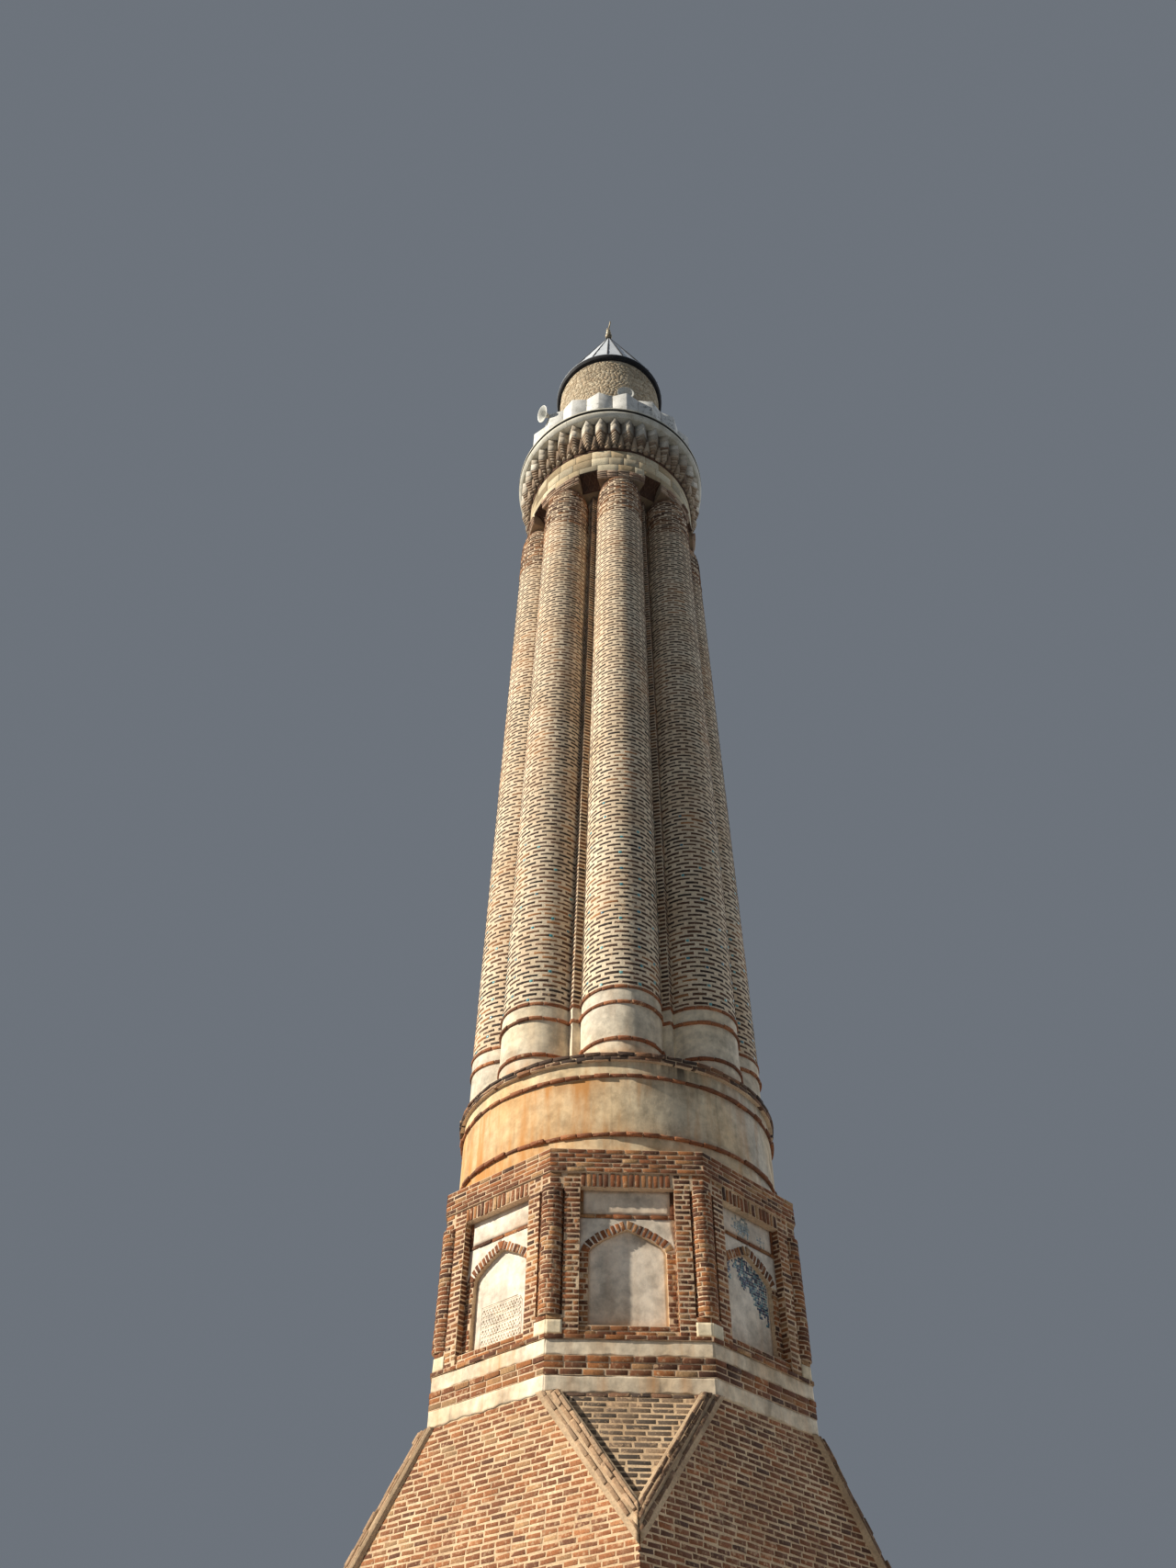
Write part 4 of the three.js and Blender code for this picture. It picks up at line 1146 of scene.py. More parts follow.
def add_relief():
    """Low interlaced ornament with a border, in the lower half of one niche."""
    relief = Masonry()
    face = flat_face(RELIEF_SIDE * EIGHTH, APOTHEM - NICHE_DEPTH - PANEL_DEPTH)
    left, right, low, high = RELIEF
    rows = 4
    pitch = (high - low) / rows
    across = np.linspace(left, right, 97)
    for row in range(rows):
        middle = low + (row + 0.5) * pitch
        for phase in range(3):
            swing = 2 * math.pi * (across - left) / RELIEF_WAVE + phase * 2 * math.pi / 3
            level = middle + 0.34 * pitch * np.sin(swing)
            relief.ribbon(face, np.stack([across, level], 1), 0.009, 0.018 + 0.004 * np.cos(swing / 2))
        relief.ribbon(face, np.array([(left, middle + pitch / 2), (right, middle + pitch / 2)]), 0.004, 0.011)
    border = np.array([(left - 0.02, low), (left - 0.02, high + 0.02), (right - 0.05, high + 0.02),
                       (right + 0.02, high - 0.05), (right + 0.02, low)])
    for start, end in zip(border[:-1], border[1:]):
        relief.ribbon(face, np.array([start, end]), 0.005, 0.013)
    relief.build("niche_relief", "panel_plaster")


def mosaic_edge(across):
    """Level under which the mosaic of the niche is worn away."""
    if across < -0.3:
        return 7.45
    return 7.62 - 0.85 * (across + 0.25) + 0.05 * math.sin(23 * across)


def add_mosaic():
    """What is left of a glazed mosaic under the arch of one niche and on the plaster above."""
    angle = MOSAIC_SIDE * EIGHTH
    pitch = MOSAIC_PITCH
    tiles = Masonry()
    rects = []
    for level in np.arange(MOSAIC_BOTTOM, PANEL_APEX, pitch):
        half = float(arch_half(level + pitch))
        for across in np.arange(-half, half - pitch, pitch):
            if level + rng.uniform(-0.06, 0.06) > mosaic_edge(across) and rng.uniform() < 0.95:
                width = pitch * rng.uniform(0.7, 0.97)
                rects.append((across, across + width, level, level + pitch * rng.uniform(0.7, 0.95)))
    distance = APOTHEM - NICHE_DEPTH
    tiles.lay(rects, flat_face(angle, distance - PANEL_DEPTH + 0.004), proud=0.006, chamfer=0.002, sink=0.006)
    tiles.build("mosaic_tiles", "mosaic_glaze")
    faded = Masonry()
    rects = []
    size = pitch * 0.85
    for centre, middle, reach in FADED_PATCHES:
        for level in np.arange(middle - reach, middle + reach, pitch):
            for across in np.arange(centre - 1.3 * reach, centre + 1.3 * reach, pitch):
                is_upper = UPPER_PANEL[0] < level < UPPER_PANEL[1] - pitch
                is_over_arch = PANEL_APEX + 0.08 < level < NICHE_STRING - pitch
                spread = math.hypot((across - centre) / 1.3, level - middle) / reach
                if (is_upper or is_over_arch) and rng.uniform(0.3, 1.1) > spread:
                    rects.append((across, across + size, level, level + size))
    faded.lay(rects, flat_face(angle, distance + 0.004), proud=0.005, ragged=0.004, chamfer=0.002, sink=0.006)
    faded.build("faded_tiles", "faded_glaze")


def add_plaster_bands():
    """Two bands of plaster around the foot of the octagonal stage, with uneven edges and run-off."""
    skins = Masonry()
    columns = 90
    blur = 9
    share = np.linspace(0, 1, 9)[:, None]
    for number in range(SIDES):
        is_rusty = from_view(math.degrees(number * EIGHTH)) < 20
        rust, soot = (0.55, 0.15) if is_rusty else (0.2, 0.65)
        for low, high in ((BASE_TOP, BAND_BOTTOM), (BAND_TOP, SILL_BOTTOM)):
            across = np.linspace(-HALF_SIDE - 0.003, HALF_SIDE + 0.003, columns)[None, :]
            edge = 0.008 * np.sin(9 * across + 5 * number) + 0.005 * np.sin(31 * across + 2 * number)
            up = low + 0.002 + (high - low - 0.004) * share + edge * (1 - share)
            across = across + 0 * up
            run = np.pad(rng.uniform(0, 1, columns), blur // 2, mode="wrap")
            run = np.convolve(run, np.ones(blur) / blur, "valid")
            drip = np.clip((run - 0.52) * 5, 0, 1)[None, :] + 0 * up
            skins.patch(flat_face(number * EIGHTH, APOTHEM), across, up, 0.010 + waves(across, up, 0.004),
                        red=drip * rust, green=np.roll(drip, 17, 1) * soot)
    skins.build("plaster_bands", "band_plaster")


# Drum and fluted shaft

def bell(value, middle, width):
    return np.exp(-((value - middle) / width) ** 2)


def fading(distance, run):
    return np.exp(-np.clip(distance, 0, 9) / run)


def summed(stains, angle):
    """Stains added up, from strength, middle and width around the tower in degrees, and where they are."""
    return sum(strength * bell(angle, middle, width) * where for strength, middle, width, where in stains)


def add_drum():
    """Plastered drum, rough by a few millimetres and stained, with its brick strings and coping."""
    around, up = 240, 40
    angle, level = np.meshgrid(np.linspace(0, 2 * math.pi, around, endpoint=False),
                               np.linspace(CORNICE_TOP, COPING_BOTTOM, up))
    radius = DRUM_RADIUS + 0.004 * np.sin(5 * angle + 3 * level) + 0.003 * np.sin(13 * angle - 4 * level)
    points = points_of(radius * np.cos(angle), radius * np.sin(angle), level).reshape(-1, 3)
    piece = new_mesh("drum_plaster", points, ring_faces(around, up))
    angle, level = angle.ravel(), level.ravel()
    degrees = np.degrees(angle) - 360 * (angle > math.pi)
    below_string = level < UPPER_STRING
    under_string = fading(UPPER_STRING - level, 0.35) * below_string
    on_string = fading(level - LOWER_STRING, 0.14) * (level > LOWER_STRING)
    under_coping = fading(COPING_BOTTOM - level, 0.3)
    rust = summed([(1.0, -66, 20, under_string), (0.55, -105, 22, below_string), (0.9, -62, 30, on_string),
                   (0.5, -100, 40, level < LOWER_STRING)], degrees)
    soot = summed([(1.0, -28, 9, under_coping), (0.35, 20, 40, under_coping)], degrees) + 0.25 * on_string
    # The side right of the view is paler and greyer
    greyed = 0.75 * bell(degrees, 12, 50) * (0.7 + 0.3 * np.sin(9 * angle + 2 * level))
    shade_points(piece, rust, soot, greyed)
    dress(piece, "cream_plaster", smooth_angle=40)
    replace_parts(piece, "drum")
    strings = Masonry()
    for level in (LOWER_STRING, UPPER_STRING):
        strings.run(round_face(DRUM_RADIUS), level, level + 0.045, [(0, 2 * math.pi * DRUM_RADIUS)],
                    length=0.2, bed=0.002, joint=0.008, proud=0.045, ragged=0.005, chamfer=0.010, bend=2,
                    tilt=0.006)
    strings.build("drum_strings", "string_brick")
    coping = Masonry()
    for row, proud in enumerate((0.008, 0.020)):
        low = COPING_BOTTOM + row * COPING_PITCH
        coping.run(round_face(COPING_RADIUS), low, low + COPING_PITCH, [(0, 2 * math.pi * COPING_RADIUS)],
                   length=0.21, bed=0.008, joint=0.012, proud=proud, ragged=0.008, chamfer=0.008, bend=2,
                   tilt=0.008, sink=0.05)
    coping.build("coping_bricks", "coping_brick")


def fluted_body(name, levels, sizes_at):
    """Body of eight flutes with an arris between each two, through the given levels."""
    steps = 33
    rings = []
    for level in levels:
        centre, radius, tip, turn = sizes_at(level)
        reach = flute_reach(centre, radius, tip)
        sweep = np.linspace(-reach, reach, steps)
        for number in range(SIDES):
            x, y = turned(centre + radius * np.cos(sweep), radius * np.sin(sweep), turn + number * EIGHTH)
            along = turn + (number + 0.5) * EIGHTH
            x = np.append(x, tip * math.cos(along))
            y = np.append(y, tip * math.sin(along))
            rings.append(points_of(x, y, level))
    return new_mesh(name, np.vstack(rings), ring_faces(SIDES * (steps + 1), len(levels)))


def add_feet():
    """Plastered feet of the flutes with their strings."""
    def sizes_at(level):
        sizes = FOOT_FLUTES if level < FOOT_STEP else LOWEST_FLUTES
        return (*sizes, 0.0)

    piece = fluted_body("foot_plaster", np.linspace(COPING_TOP, SHAFT_BOTTOM, 28), sizes_at)
    x, y, z = places_of(piece).T
    degrees = np.degrees(np.arctan2(y, x))
    low = np.exp(-(z - COPING_TOP) / 0.12)
    rust = 0.7 * low + 0.35 * bell(degrees, -75, 25) * low
    soot = 0.5 * bell(degrees, -12, 14) * low
    greyed = 0.45 + 0.25 * np.sin(np.radians(5 * degrees)) * np.sin(3 * z)
    shade_points(piece, rust, soot, greyed)
    dress(piece, "white_plaster", smooth_angle=35)
    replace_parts(piece, "flute_feet")
    strings = Masonry()
    lower, upper = FOOT_STRINGS
    for number in range(SIDES):
        for level, sizes, proud in ((lower, FOOT_FLUTES, 0.035), (upper, FOOT_FLUTES, 0.035),
                                    (SHAFT_BOTTOM, LOWEST_FLUTES, 0.022)):
            half = flute_reach(*sizes) * sizes[1]
            strings.run(flute_face(number, sizes), level, level + 0.052, [(-half, half)], length=0.19,
                        bed=0.003, joint=0.008, proud=proud, ragged=0.004, chamfer=0.01, bend=3)
            if level == lower:
                continue
            for side, ends in zip((-1, 1), both_sides(0.0, arris_length(*sizes))):
                strings.lay([(*ends, level, level + 0.05)], arris_face(number, side, sizes),
                            proud=proud * 0.8, chamfer=0.006)
    strings.build("foot_strings", "string_brick")


def flute_rows():
    """Rectangles of the bricks and the glazed squares of a flute."""
    bricks, squares = [], []
    for row in range(FLUTE_ROWS):
        level = FIRST_FLUTE_ROW + row * FLUTE_PITCH
        centre, radius, tip, _ = flutes_at(level)
        half = flute_reach(centre, radius, tip) * radius
        start = -FLUTE_SPACING * (4 + 0.5 * (row % 2)) + rng.uniform(-0.02, 0.02)
        for step in range(10):
            at = start + step * FLUTE_SPACING
            left = max(at + rng.uniform(-0.012, 0.012), -half)
            right = min(at + FLUTE_BRICK_LENGTH + rng.uniform(-0.012, 0.012), half)
            if right - left > 0.04:
                rise = rng.uniform(-0.003, 0.003)
                bricks.append((left, right, level + rise, level + rise + FLUTE_BRICK_HEIGHT))
            joint = at + FLUTE_BRICK_LENGTH + (FLUTE_SPACING - FLUTE_BRICK_LENGTH) / 2
            is_glazed = (row + 2 * step) % 4 == 0 and row < GLAZED_ROWS and abs(joint) < half - 0.05
            if is_glazed and rng.uniform() < 0.8 - row * 0.012:
                squares.append((joint - 0.024, joint + 0.024, level, level + BRICK_HEIGHT))
    return np.array(bricks), squares


def arris_rows(side):
    """Rectangles of the bricks on one face of an arris."""
    rects = []
    for row in range(FLUTE_ROWS):
        level = FIRST_FLUTE_ROW + row * FLUTE_PITCH
        centre, radius, tip, _ = flutes_at(level)
        near = rng.uniform(0.0, 0.012)
        far = min(arris_length(centre, radius, tip), 0.115 + rng.uniform(-0.015, 0.015))
        rects.append((*sorted((side * near, side * far)), level, level + FLUTE_BRICK_HEIGHT))
    return rects


def add_shaft():
    """Fluted shaft: a body of mortar with bricks laid along the flutes and the arrises."""
    straight = np.arange(SHAFT_BOTTOM, SHOULDER_BOTTOM, 0.5)
    levels = np.append(straight, np.linspace(SHOULDER_BOTTOM, SHAFT_TOP, 8))
    piece = fluted_body("shaft_mortar", levels, flutes_at)
    dress(piece, "flute_mortar", smooth_angle=35)
    # The top of the shaft under the neck turns clay brown, partly painted shade under the projecting courses
    shade_points(piece, 0.0, 0.9 * (places_of(piece)[:, 2] > SHOULDER_TOP))
    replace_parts(piece, "fluted_shaft")
    glazed = Masonry()
    for number in range(SIDES):
        bricks = Masonry()
        face = flute_face(number)
        rects, squares = flute_rows()
        across, level = rects[:, 0], rects[:, 2]
        is_rough = level > ROUGH_BOTTOM
        rects[is_rough] += ROUGH_GROWTH
        # Warm, light bricks come in patches; on the flutes left of the view, which face the key light, they
        # are far more common, as painted light
        is_painted_lit_side = from_view(number * 360 / SIDES) < -20
        warmth = np.sin(1.9 * level + 3 * across + 2.3 * number) + np.sin(0.83 * level - 5 * across + number)
        is_warm = ~is_rough & (warmth > (0.1 if is_painted_lit_side else 1.2))
        for chosen, proud, ragged, chamfer, tint, tilt in (
                (~is_rough & ~is_warm, 0.005, 0.005, 0.007, (0.0, 0.62), 0.002),
                (is_warm, 0.005, 0.006, 0.007, (0.5, 1.0), 0.002),
                (is_rough, 0.010, 0.009, 0.010, (0.4, 1.0), 0.012)):
            bricks.lay(rects[chosen], face, proud=proud, ragged=ragged, bend=2, chamfer=chamfer, tint=tint,
                       tilt=tilt)
        glazed.lay(squares, face, proud=0.006)
        for side in (-1, 1):
            bricks.lay(arris_rows(side), arris_face(number, side), proud=0.006, ragged=0.004, tint=(0.1, 0.9))
        bricks.build(f"flute_bricks_{number + 1}", "flute_brick")
    return glazed


# Neck and balcony

def add_neck():
    """Three courses of cut stone over stepped courses of brick, cut by the pockets."""
    half_gap = NECK_RADIUS * math.asin(POCKET_HALF / NECK_RADIUS)
    reach = NECK_RADIUS * EIGHTH / 2 - half_gap
    middles = [NECK_RADIUS * (SHAFT_TWIST + number * EIGHTH) for number in range(SIDES)]
    spans = [(middle - reach, middle + reach) for middle in middles]
    full = 2 * math.pi * NECK_RADIUS
    pitch = (RING_TOP - RING_BOTTOM) / RING_COURSES
    stones = Masonry()
    face = round_face(NECK_RADIUS)
    for row in range(RING_COURSES):
        low = RING_BOTTOM + row * pitch
        stones.run(face, low, low + pitch, [(0, full)] if row else spans, length=0.42, height=pitch - 0.009,
                   bed=0.009, joint=0.009, wander=0.09, proud=0.007, chamfer=0.006, bend=4)
    lintels = []
    for (_, left), (right, _) in zip(spans, spans[1:] + spans[:1]):
        right += full if right < left else 0
        lintels.append((left + 0.004, right - 0.004, POCKET_TOP + 0.004, RING_BOTTOM + pitch - 0.006))
    stones.lay(lintels, face, proud=0.007, chamfer=0.006, bend=4)
    stones.build("neck_stones", "ashlar")
    steps = Masonry()
    for row in range(NECK_STEPS):
        low = RING_BOTTOM - (NECK_STEPS - row) * NECK_STEP_PITCH
        steps.run(face, low, low + NECK_STEP_PITCH, spans, length=0.24, height=NECK_STEP_PITCH - 0.014,
                  bed=0.014, joint=0.008, proud=0.014 + 0.018 * row, chamfer=0.006, bend=2, sink=0.02)
    steps.build("neck_step_bricks", "neck_brick")


def add_pockets():
    """Coved backs of the neck's pockets, with a net of thin ribs."""
    coves = Masonry()
    ribs = Masonry()
    cell = 2 * POCKET_HALF / 3
    across, up = np.meshgrid(np.linspace(-POCKET_HALF, POCKET_HALF, 9), np.linspace(0, 1, 9))
    for number in range(SIDES):
        face = cove_face(SHAFT_TWIST + (number + 0.5) * EIGHTH)
        coves.patch(face, across, up, np.zeros_like(across), sink=0.01)
        for row in range(3):
            for column in range(-2, 3):
                middle = (column + 0.5 * (row % 2)) * cell
                for side in (-1, 1):
                    end = (middle + side * cell / 2, (row + 1) / 3)
                    ribs.strip(face, (middle, row / 3), end, POCKET_RIB_HALF, limit=POCKET_HALF)
    coves.build("pocket_backs", "recess_brick")
    ribs.build("pocket_ribs", "pocket_rib")


def core_radius(level):
    share = (level - RING_TOP) / (HEAD_BOTTOM - RING_TOP)
    return CORE_FOOT + (CORBEL_VALLEY - CORE_FOOT) * share


def add_corbels():
    """Pointed stone heads, each over thin pointed courses that draw back to nothing, on a round core."""
    core = [(WELL_RADIUS, RING_TOP), (CORE_FOOT, RING_TOP), (CORBEL_VALLEY - 0.02, HEAD_BOTTOM - 0.02),
            (CORBEL_VALLEY + 0.004, HEAD_BOTTOM), (CORBEL_VALLEY + 0.004, HEAD_TOP), (WELL_RADIUS, HEAD_TOP)]
    piece = revolve("corbel_core", core, 160)
    dress(piece, "recess_brick", smooth_angle=30)
    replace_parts(piece, "corbel_ring")
    heads = Masonry()
    thin = Masonry()
    step = 2 * math.pi / CORBEL_COUNT
    pitch = (HEAD_BOTTOM - CORBEL_FOOT) / len(CORBEL_REACHES)
    for number in range(CORBEL_COUNT):
        angle = FIRST_CORBEL + number * step
        middle = HEAD_BOTTOM + 0.25 + rng.uniform(-0.02, 0.02)
        heads.wedge(angle, CORBEL_TIP, CORBEL_VALLEY, HEAD_BOTTOM, middle)
        heads.wedge(angle, CORBEL_TIP, CORBEL_VALLEY, middle + 0.005, HEAD_TOP - 0.004)
        for row, reach in enumerate(CORBEL_REACHES):
            high = HEAD_BOTTOM - row * pitch - 0.004
            back = core_radius(high - pitch / 2)
            thin.wedge(angle, back + reach, back, high - pitch + 0.022, high, half=reach)
        between = angle + step / 2
        back = core_radius(RING_TOP + 0.15)
        tip = back + LOWER_REACH
        thin.wedge(between, tip, back, RING_TOP + 0.13, HEAD_BOTTOM - 0.06, half=LOWER_REACH)
        thin.wedge(between, tip - 0.03, back, RING_TOP + 0.05, RING_TOP + 0.12, half=LOWER_REACH - 0.02)
    heads.build("corbel_heads", "corbel_stone")
    thin.build("corbel_courses", "corbel_course")


def add_balcony():
    """Moulded edge stones of the balcony floor, and the folded parapet of marble slabs."""
    soffit, fascia = BALCONY_RADIUS - 0.065, BALCONY_RADIUS - 0.015
    neck = BALCONY_RADIUS - 0.05
    profile = [
        (WELL_RADIUS, HEAD_TOP), (soffit - 0.01, HEAD_TOP), (soffit, HEAD_TOP + 0.006),
        (fascia, HEAD_TOP + 0.085), (fascia + 0.004, HEAD_TOP + 0.095), (fascia + 0.004, FASCIA_TOP - 0.008),
        (fascia - 0.004, FASCIA_TOP), (neck, FASCIA_TOP + 0.002), (neck, LIP_BOTTOM - 0.002),
        (BALCONY_RADIUS - 0.008, LIP_BOTTOM),
        (BALCONY_RADIUS, LIP_BOTTOM + 0.01), (BALCONY_RADIUS, BALCONY_TOP - 0.012),
        (BALCONY_RADIUS - 0.01, BALCONY_TOP), (WELL_RADIUS, BALCONY_TOP),
    ]
    piece = revolve("balcony_slab", profile, EDGE_STONES * 8, stones=EDGE_STONES)
    height = places_of(piece)[:, 2]
    in_groove = (height > FASCIA_TOP - 0.001) & (height < LIP_BOTTOM + 0.001)
    shade_points(piece, 0.5, 0.45, 0.95 * in_groove)
    dress(piece, "slab_stone", smooth_angle=30)
    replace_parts(piece, "balcony_floor")
    panels = Masonry()
    step = math.pi / FOLDS
    corners = []
    for i in range(2 * FOLDS):
        radius = FOLD_VALLEY if i % 2 else FOLD_TIP
        turn = FIRST_FOLD + i * step
        corners.append(Vector((radius * math.cos(turn), radius * math.sin(turn))))
    for i, start in enumerate(corners):
        end = corners[(i + 1) % len(corners)]
        # Panels to the right of the view are darker
        is_darker_panel = 22 < from_view(math.degrees(FIRST_FOLD + (i + 0.5) * step)) < 100
        rect = [(0.002, (end - start).length - 0.002, BALCONY_TOP + 0.001, PARAPET_TOP)]
        panels.lay(rect, line_face(start, end), proud=0.001, ragged=0.002, chamfer=0.007,
                   sink=PARAPET_THICKNESS, dirt=0.75 if is_darker_panel else 0.0)
    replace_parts(panels.build("parapet_slabs", "marble"), "parapet")


# Upper shaft, roof and loudspeakers

def add_upper_shaft():
    """Small rubble around the upper shaft, and the cut frame of its doorway."""
    door = UPPER_DOOR_HALF + UPPER_FRAME
    door_turn = math.asin(door / UPPER_RADIUS)
    half_gap = UPPER_RADIUS * door_turn
    full = 2 * math.pi * UPPER_RADIUS
    doorway = DOOR_ANGLE * UPPER_RADIUS

    def limits(level):
        if level < UPPER_DOOR_TOP + UPPER_FRAME:
            return [(doorway + half_gap, doorway + full - half_gap)]
        return [(0, full)]

    stones = Masonry()
    low = BALCONY_TOP
    while low < EAVE_BOTTOM - 0.06:
        high = min(low + rng.uniform(0.06, 0.09), EAVE_BOTTOM)
        stones.run(round_face(UPPER_RADIUS), low, high, limits, length=0.10, height=high - low - 0.012,
                   bed=0.012, joint=0.014, wander=0.04, shortest=0.04, proud=0.012, ragged=0.007,
                   chamfer=0.010, bend=2, tilt=0.006)
        low = high
    stones.build("upper_shaft_stones", "rubble")
    frame_stones = Masonry()
    face = flat_face(DOOR_ANGLE, UPPER_RADIUS * math.cos(door_turn) + 0.03)
    height = (UPPER_DOOR_TOP - BALCONY_TOP) / JAMB_STONES
    for ends in both_sides(UPPER_DOOR_HALF, door):
        for row in range(JAMB_STONES):
            low = BALCONY_TOP + row * height
            frame_stones.lay([(*ends, low + 0.004, low + height)], face, proud=0.01, sink=0.12)
    lintel = (-door, door, UPPER_DOOR_TOP + 0.004, UPPER_DOOR_TOP + UPPER_FRAME)
    frame_stones.lay([lintel], face, proud=0.014, sink=0.12)
    frame_stones.build("balcony_door_frame", "marble")


def add_roof():
    """Moulded eave, and lead sheets between standing seams."""
    low = EAVE_BOTTOM
    edge = EAVE_RADIUS
    soffit = [(WELL_RADIUS, low), (edge - 0.10, low), (edge - 0.04, low + 0.012), (edge - 0.012, low + 0.05),
              (edge - 0.004, low + 0.125), (WELL_RADIUS, low + 0.125)]
    rim = [(edge - 0.03, low + 0.127), (edge - 0.004, low + 0.127), (edge, low + 0.131), (edge, low + 0.141),
           (edge - 0.008, low + 0.148), (edge - 0.03, low + 0.15)]
    # The soffit is near-black: painted shade under the eave
    piece = revolve("eave_soffit", soffit, 96)
    dress(piece, "dark_lead", smooth_angle=35)
    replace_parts(piece, "eave_ring")
    dress(revolve("eave_edge", rim, 96), "lead", smooth_angle=35)
    step = 2 * math.pi / ROOF_SEAMS
    across = 5
    around = across * ROOF_SEAMS
    rows = ROOF_LAPS * 4 + 1
    rings = []
    for t in np.linspace(0, 1, rows):
        lap = 0.012 * (1 - (t * ROOF_LAPS) % 1) if t < 1 else 0.0
        radius = CONE_RADIUS + (CONE_TIP - CONE_RADIUS) * t + lap * (1 - t)
        level = EAVE_TOP + (CONE_TOP - EAVE_TOP) * t
        ring = []
        for seam in range(ROOF_SEAMS):
            for i in range(across):
                turn = FIRST_SEAM + (seam + i / across) * step
                flatness = math.cos(step / 2) / math.cos((i / across - 0.5) * step)
                ring.append((radius * flatness * math.cos(turn), radius * flatness * math.sin(turn), level))
        rings.append(ring)
    rings.append([(0.001 * math.cos(i), 0.001 * math.sin(i), CONE_TOP) for i in range(around)])
    inner = [[(0.6 * x, 0.6 * y, EAVE_TOP + 0.002) for x, y, _ in rings[0]]]
    piece = new_mesh("roof_sheets", np.array(inner + rings).reshape(-1, 3), ring_faces(around, rows + 2))
    dress(piece, "lead", smooth_angle=22)
    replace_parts(piece, "cone_roof")
    rolls = []
    for seam in range(ROOF_SEAMS):
        turn = FIRST_SEAM + seam * step
        foot = Vector((CONE_RADIUS * math.cos(turn), CONE_RADIUS * math.sin(turn), EAVE_TOP - 0.01))
        peak = Vector((CONE_TIP * math.cos(turn), CONE_TIP * math.sin(turn), CONE_TOP - 0.01))
        radii = [SEAM_RADIUS, SEAM_RADIUS * 0.85, SEAM_RADIUS * 0.4]
        rolls.append(([foot, foot.lerp(peak, 0.5), peak], radii))
    dress(tubes("roof_seams", rolls), "dark_lead", smooth_angle=50)


def add_finial():
    """Turned knobs and a crescent on the tip of the roof."""
    profile = [(0.075, 0.0), (0.07, 0.02), (0.035, 0.05), (0.024, 0.07)]
    for middle, radius in ((0.16, 0.105), (0.37, 0.08), (0.54, 0.06)):
        for angle in np.radians(np.linspace(-70, 70, 11)):
            level = middle + 0.85 * radius * math.sin(angle)
            profile.append((0.022 + (radius - 0.022) * math.cos(angle), level))
        profile.append((0.021, middle + radius * 0.98))
    profile += [(0.018, 0.66), (0.018, 0.71), (0.001, 0.712)]
    profile = [(radius, CONE_TOP + level) for radius, level in profile]
    piece = revolve("finial_knobs", profile, 32, closed=False)
    dress(piece, "gilt", smooth_angle=40)
    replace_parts(piece, "finial")
    middle = CONE_TOP + 0.86
    reach = (FINIAL_TOP - middle) / math.cos(CRESCENT_OPENING)
    steps, sides = 48, 12
    rings = []
    for turn in np.linspace(CRESCENT_OPENING, 2 * math.pi - CRESCENT_OPENING, steps):
        fullness = math.sqrt(max(0.0, 1 - (abs(turn - math.pi) / (math.pi - CRESCENT_OPENING)) ** 4))
        inner = Vector((0.72 * reach * math.sin(turn), 0.016 + 0.72 * reach * math.cos(turn)))
        outer = Vector((reach * math.sin(turn), reach * math.cos(turn)))
        inner = outer.lerp(inner, 0.04 + 0.96 * fullness)
        centre, half = (inner + outer) / 2, (outer - inner) / 2
        for side in range(sides):
            around = 2 * math.pi * side / sides
            across = centre + half * math.cos(around)
            depth = 0.022 * (0.3 + 0.7 * fullness) * math.sin(around)
            x, y = turned(across.x, depth, CRESCENT_TURN)
            rings.append((x, y, middle + across.y))
    ends = [[np.arange(sides)], [np.arange(sides)[::-1] + (steps - 1) * sides]]
    crescent = new_mesh("finial_crescent", np.array(rings), ring_faces(sides, steps)[:, ::-1], *ends)
    dress(crescent, "gilt", smooth_angle=40)


def add_loudspeakers():
    """Horn loudspeakers: turned bell, driver and bracket, one on the parapet and one on a pole."""
    for name, radius, station, low, centre, facing, dip in LOUDSPEAKERS:
        horn = revolve(f"{name}_horn", HORN, 40, closed=False)
        foot = Vector((radius * math.cos(station), radius * math.sin(station), centre))
        pose = (Matrix.Translation(foot) @ Matrix.Rotation(facing + math.pi / 2, 4, "Z")
                @ Matrix.Rotation(math.pi / 2 + dip, 4, "X"))
        horn.data.transform(pose)
        dress(horn, "enamel", smooth_angle=45)
        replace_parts(horn, name)
        side = pose.to_3x3() @ Vector((1, 0, 0))
        back = pose.to_3x3() @ Vector((0, 0, -1))
        arms = [([Vector((foot.x, foot.y, low)), foot - Vector((0, 0, 0.09))], [0.022, 0.022])]
        for sign in (-1, 1):
            hinge = foot + side * 0.078 * sign + back * 0.1
            arms.append(([hinge, hinge - Vector((0, 0, 0.11)), foot - Vector((0, 0, 0.1))], [0.009] * 3))
        dress(tubes(f"{name}_bracket", arms), "enamel", smooth_angle=50)


# Camera, light and floor

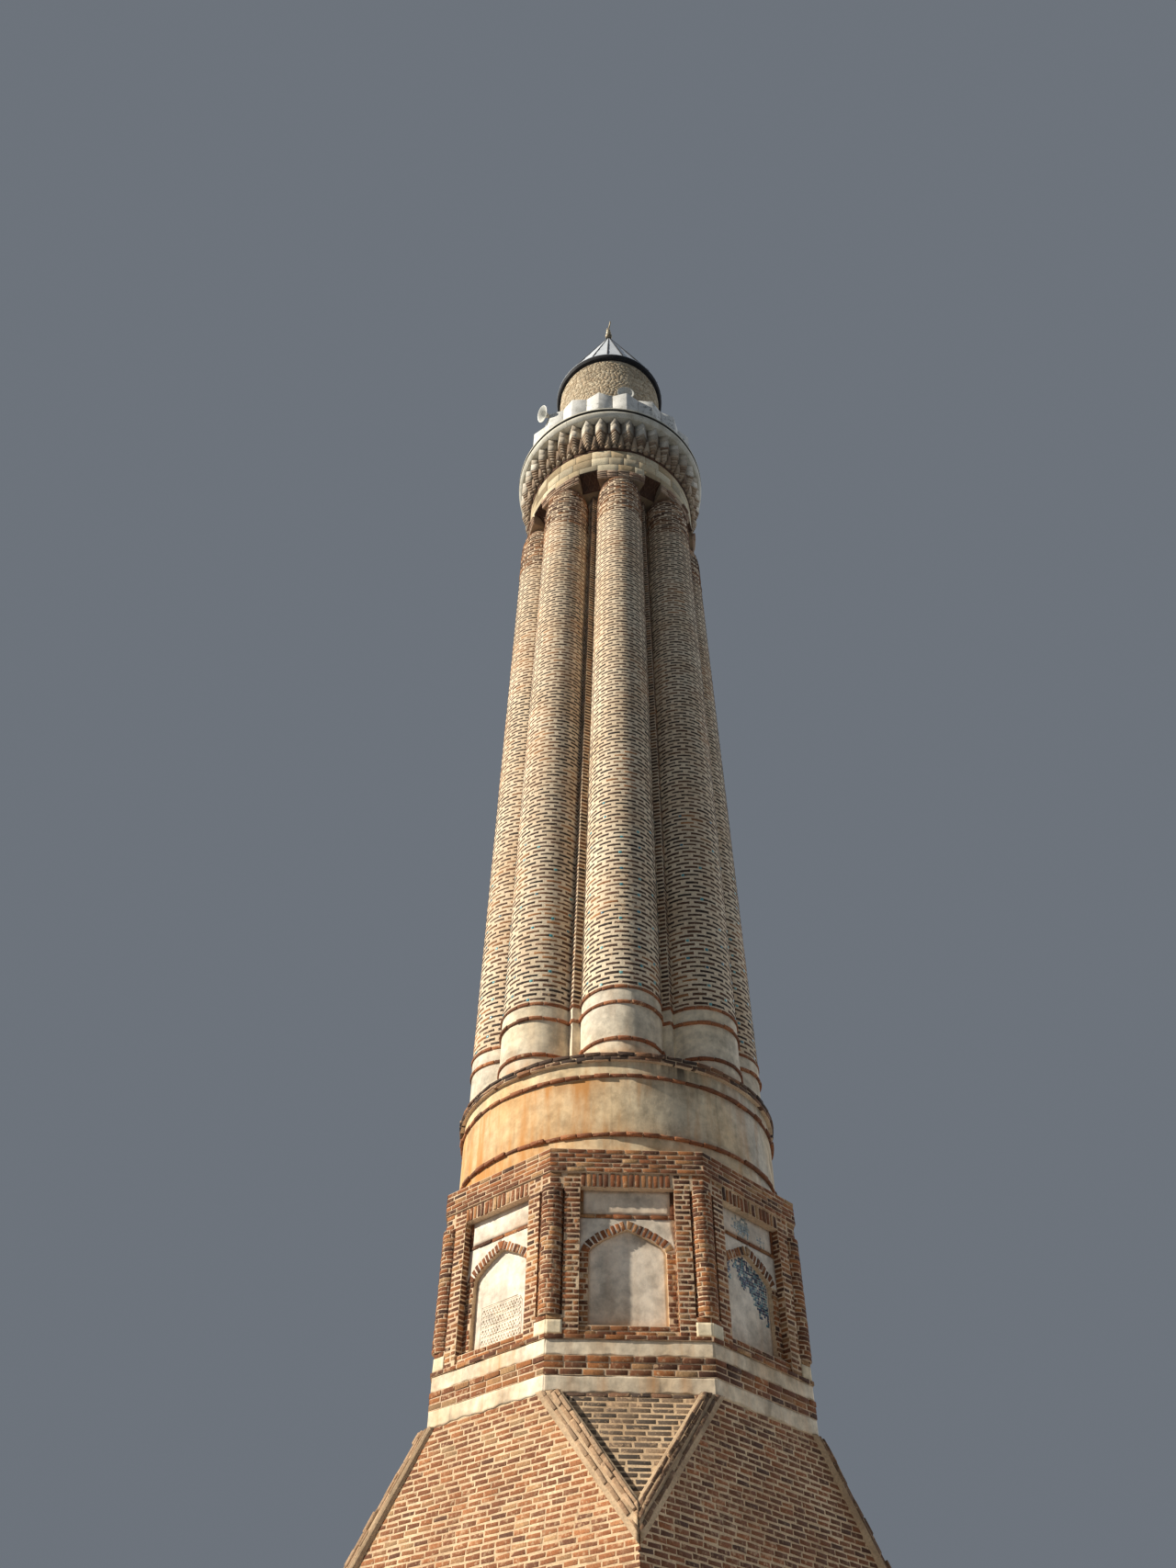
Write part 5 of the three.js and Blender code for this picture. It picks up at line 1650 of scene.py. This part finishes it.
def add_camera():
    yaw, pitch, roll = CAMERA_YAW, CAMERA_PITCH, CAMERA_ROLL
    forward = Vector((math.sin(yaw) * math.cos(pitch), math.cos(yaw) * math.cos(pitch), math.sin(pitch)))
    level_right = Vector((math.cos(yaw), -math.sin(yaw), 0))
    level_up = level_right.cross(forward)
    right = level_right * math.cos(roll) + level_up * math.sin(roll)
    up = level_up * math.cos(roll) - level_right * math.sin(roll)
    pose = Matrix((right, up, -forward)).transposed().to_4x4()
    pose.translation = Vector((0, -CAMERA_DISTANCE, CAMERA_HEIGHT))
    data = bpy.data.cameras.new("camera")
    data.lens = LENS
    data.sensor_width = SENSOR
    data.clip_end = 500
    camera = bpy.data.objects.new("camera", data)
    camera.matrix_world = Matrix.Rotation(CAMERA_AZIMUTH, 4, "Z") @ pose
    bpy.context.scene.collection.objects.link(camera)
    bpy.context.scene.camera = camera


def add_light():
    """Low warm key from the left of the photograph's view, a weak wide fill from behind, and the sky."""
    for name, angle, height, strength, softness, colour in LIGHTS:
        data = bpy.data.lights.new(name, "SUN")
        data.energy = strength
        data.angle = math.radians(softness)
        data.color = colour
        light = bpy.data.objects.new(name, data)
        reach = math.cos(height)
        towards = Vector((reach * math.cos(angle), reach * math.sin(angle), math.sin(height)))
        light.rotation_euler = towards.to_track_quat("Z", "Y").to_euler()
        bpy.context.scene.collection.objects.link(light)
    world = bpy.data.worlds.new("studio")
    world.use_nodes = True
    background = world.node_tree.nodes["Background"]
    background.inputs["Color"].default_value = (*SKY, 1)
    background.inputs["Strength"].default_value = SKY_STRENGTH
    bpy.context.scene.world = world
    bpy.context.scene.view_settings.view_transform = "Standard"


def add_floor():
    half = FLOOR_HALF
    points = np.array([(-half, -half, 0), (half, -half, 0), (half, half, 0), (-half, half, 0)])
    floor = new_mesh("floor", points, np.array([[0, 1, 2, 3]]))
    shader = Shader("floor", roughness=0.9)
    grey = shader.ramp(shader.noise(0.4, detail=2), [(0.3, 0.42), (0.7, 0.47)])
    shader.set(shader.surface.inputs["Base Color"], grey)
    floor.data.materials.append(shader.material)


def dress_nodes():
    """Materials for the solids that stay in view, behind their bricks."""
    for name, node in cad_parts.items():
        look = NODE_LOOKS.get(name, "stage_mortar")
        if name.startswith("base_wall"):
            look = "base_mortar"
        elif name.endswith("plaster_band"):
            look = "white_plaster"
        node.data.materials.clear()
        node.data.materials.append(looks[look][0])


add_camera()
add_light()
add_floor()
dress_nodes()
add_base_bricks()
add_corner_ribs()
add_plaster_bands()
add_band_bricks()
add_stage_bricks()
add_niche_plaster()
add_relief()
add_mosaic()
add_drum()
add_feet()
glazed_squares = add_shaft()
add_neck()
add_pockets()
add_corbels()
add_balcony()
add_upper_shaft()
add_roof()
add_finial()
add_loudspeakers()
glazed_squares.build("glazed_squares", "square_glaze")
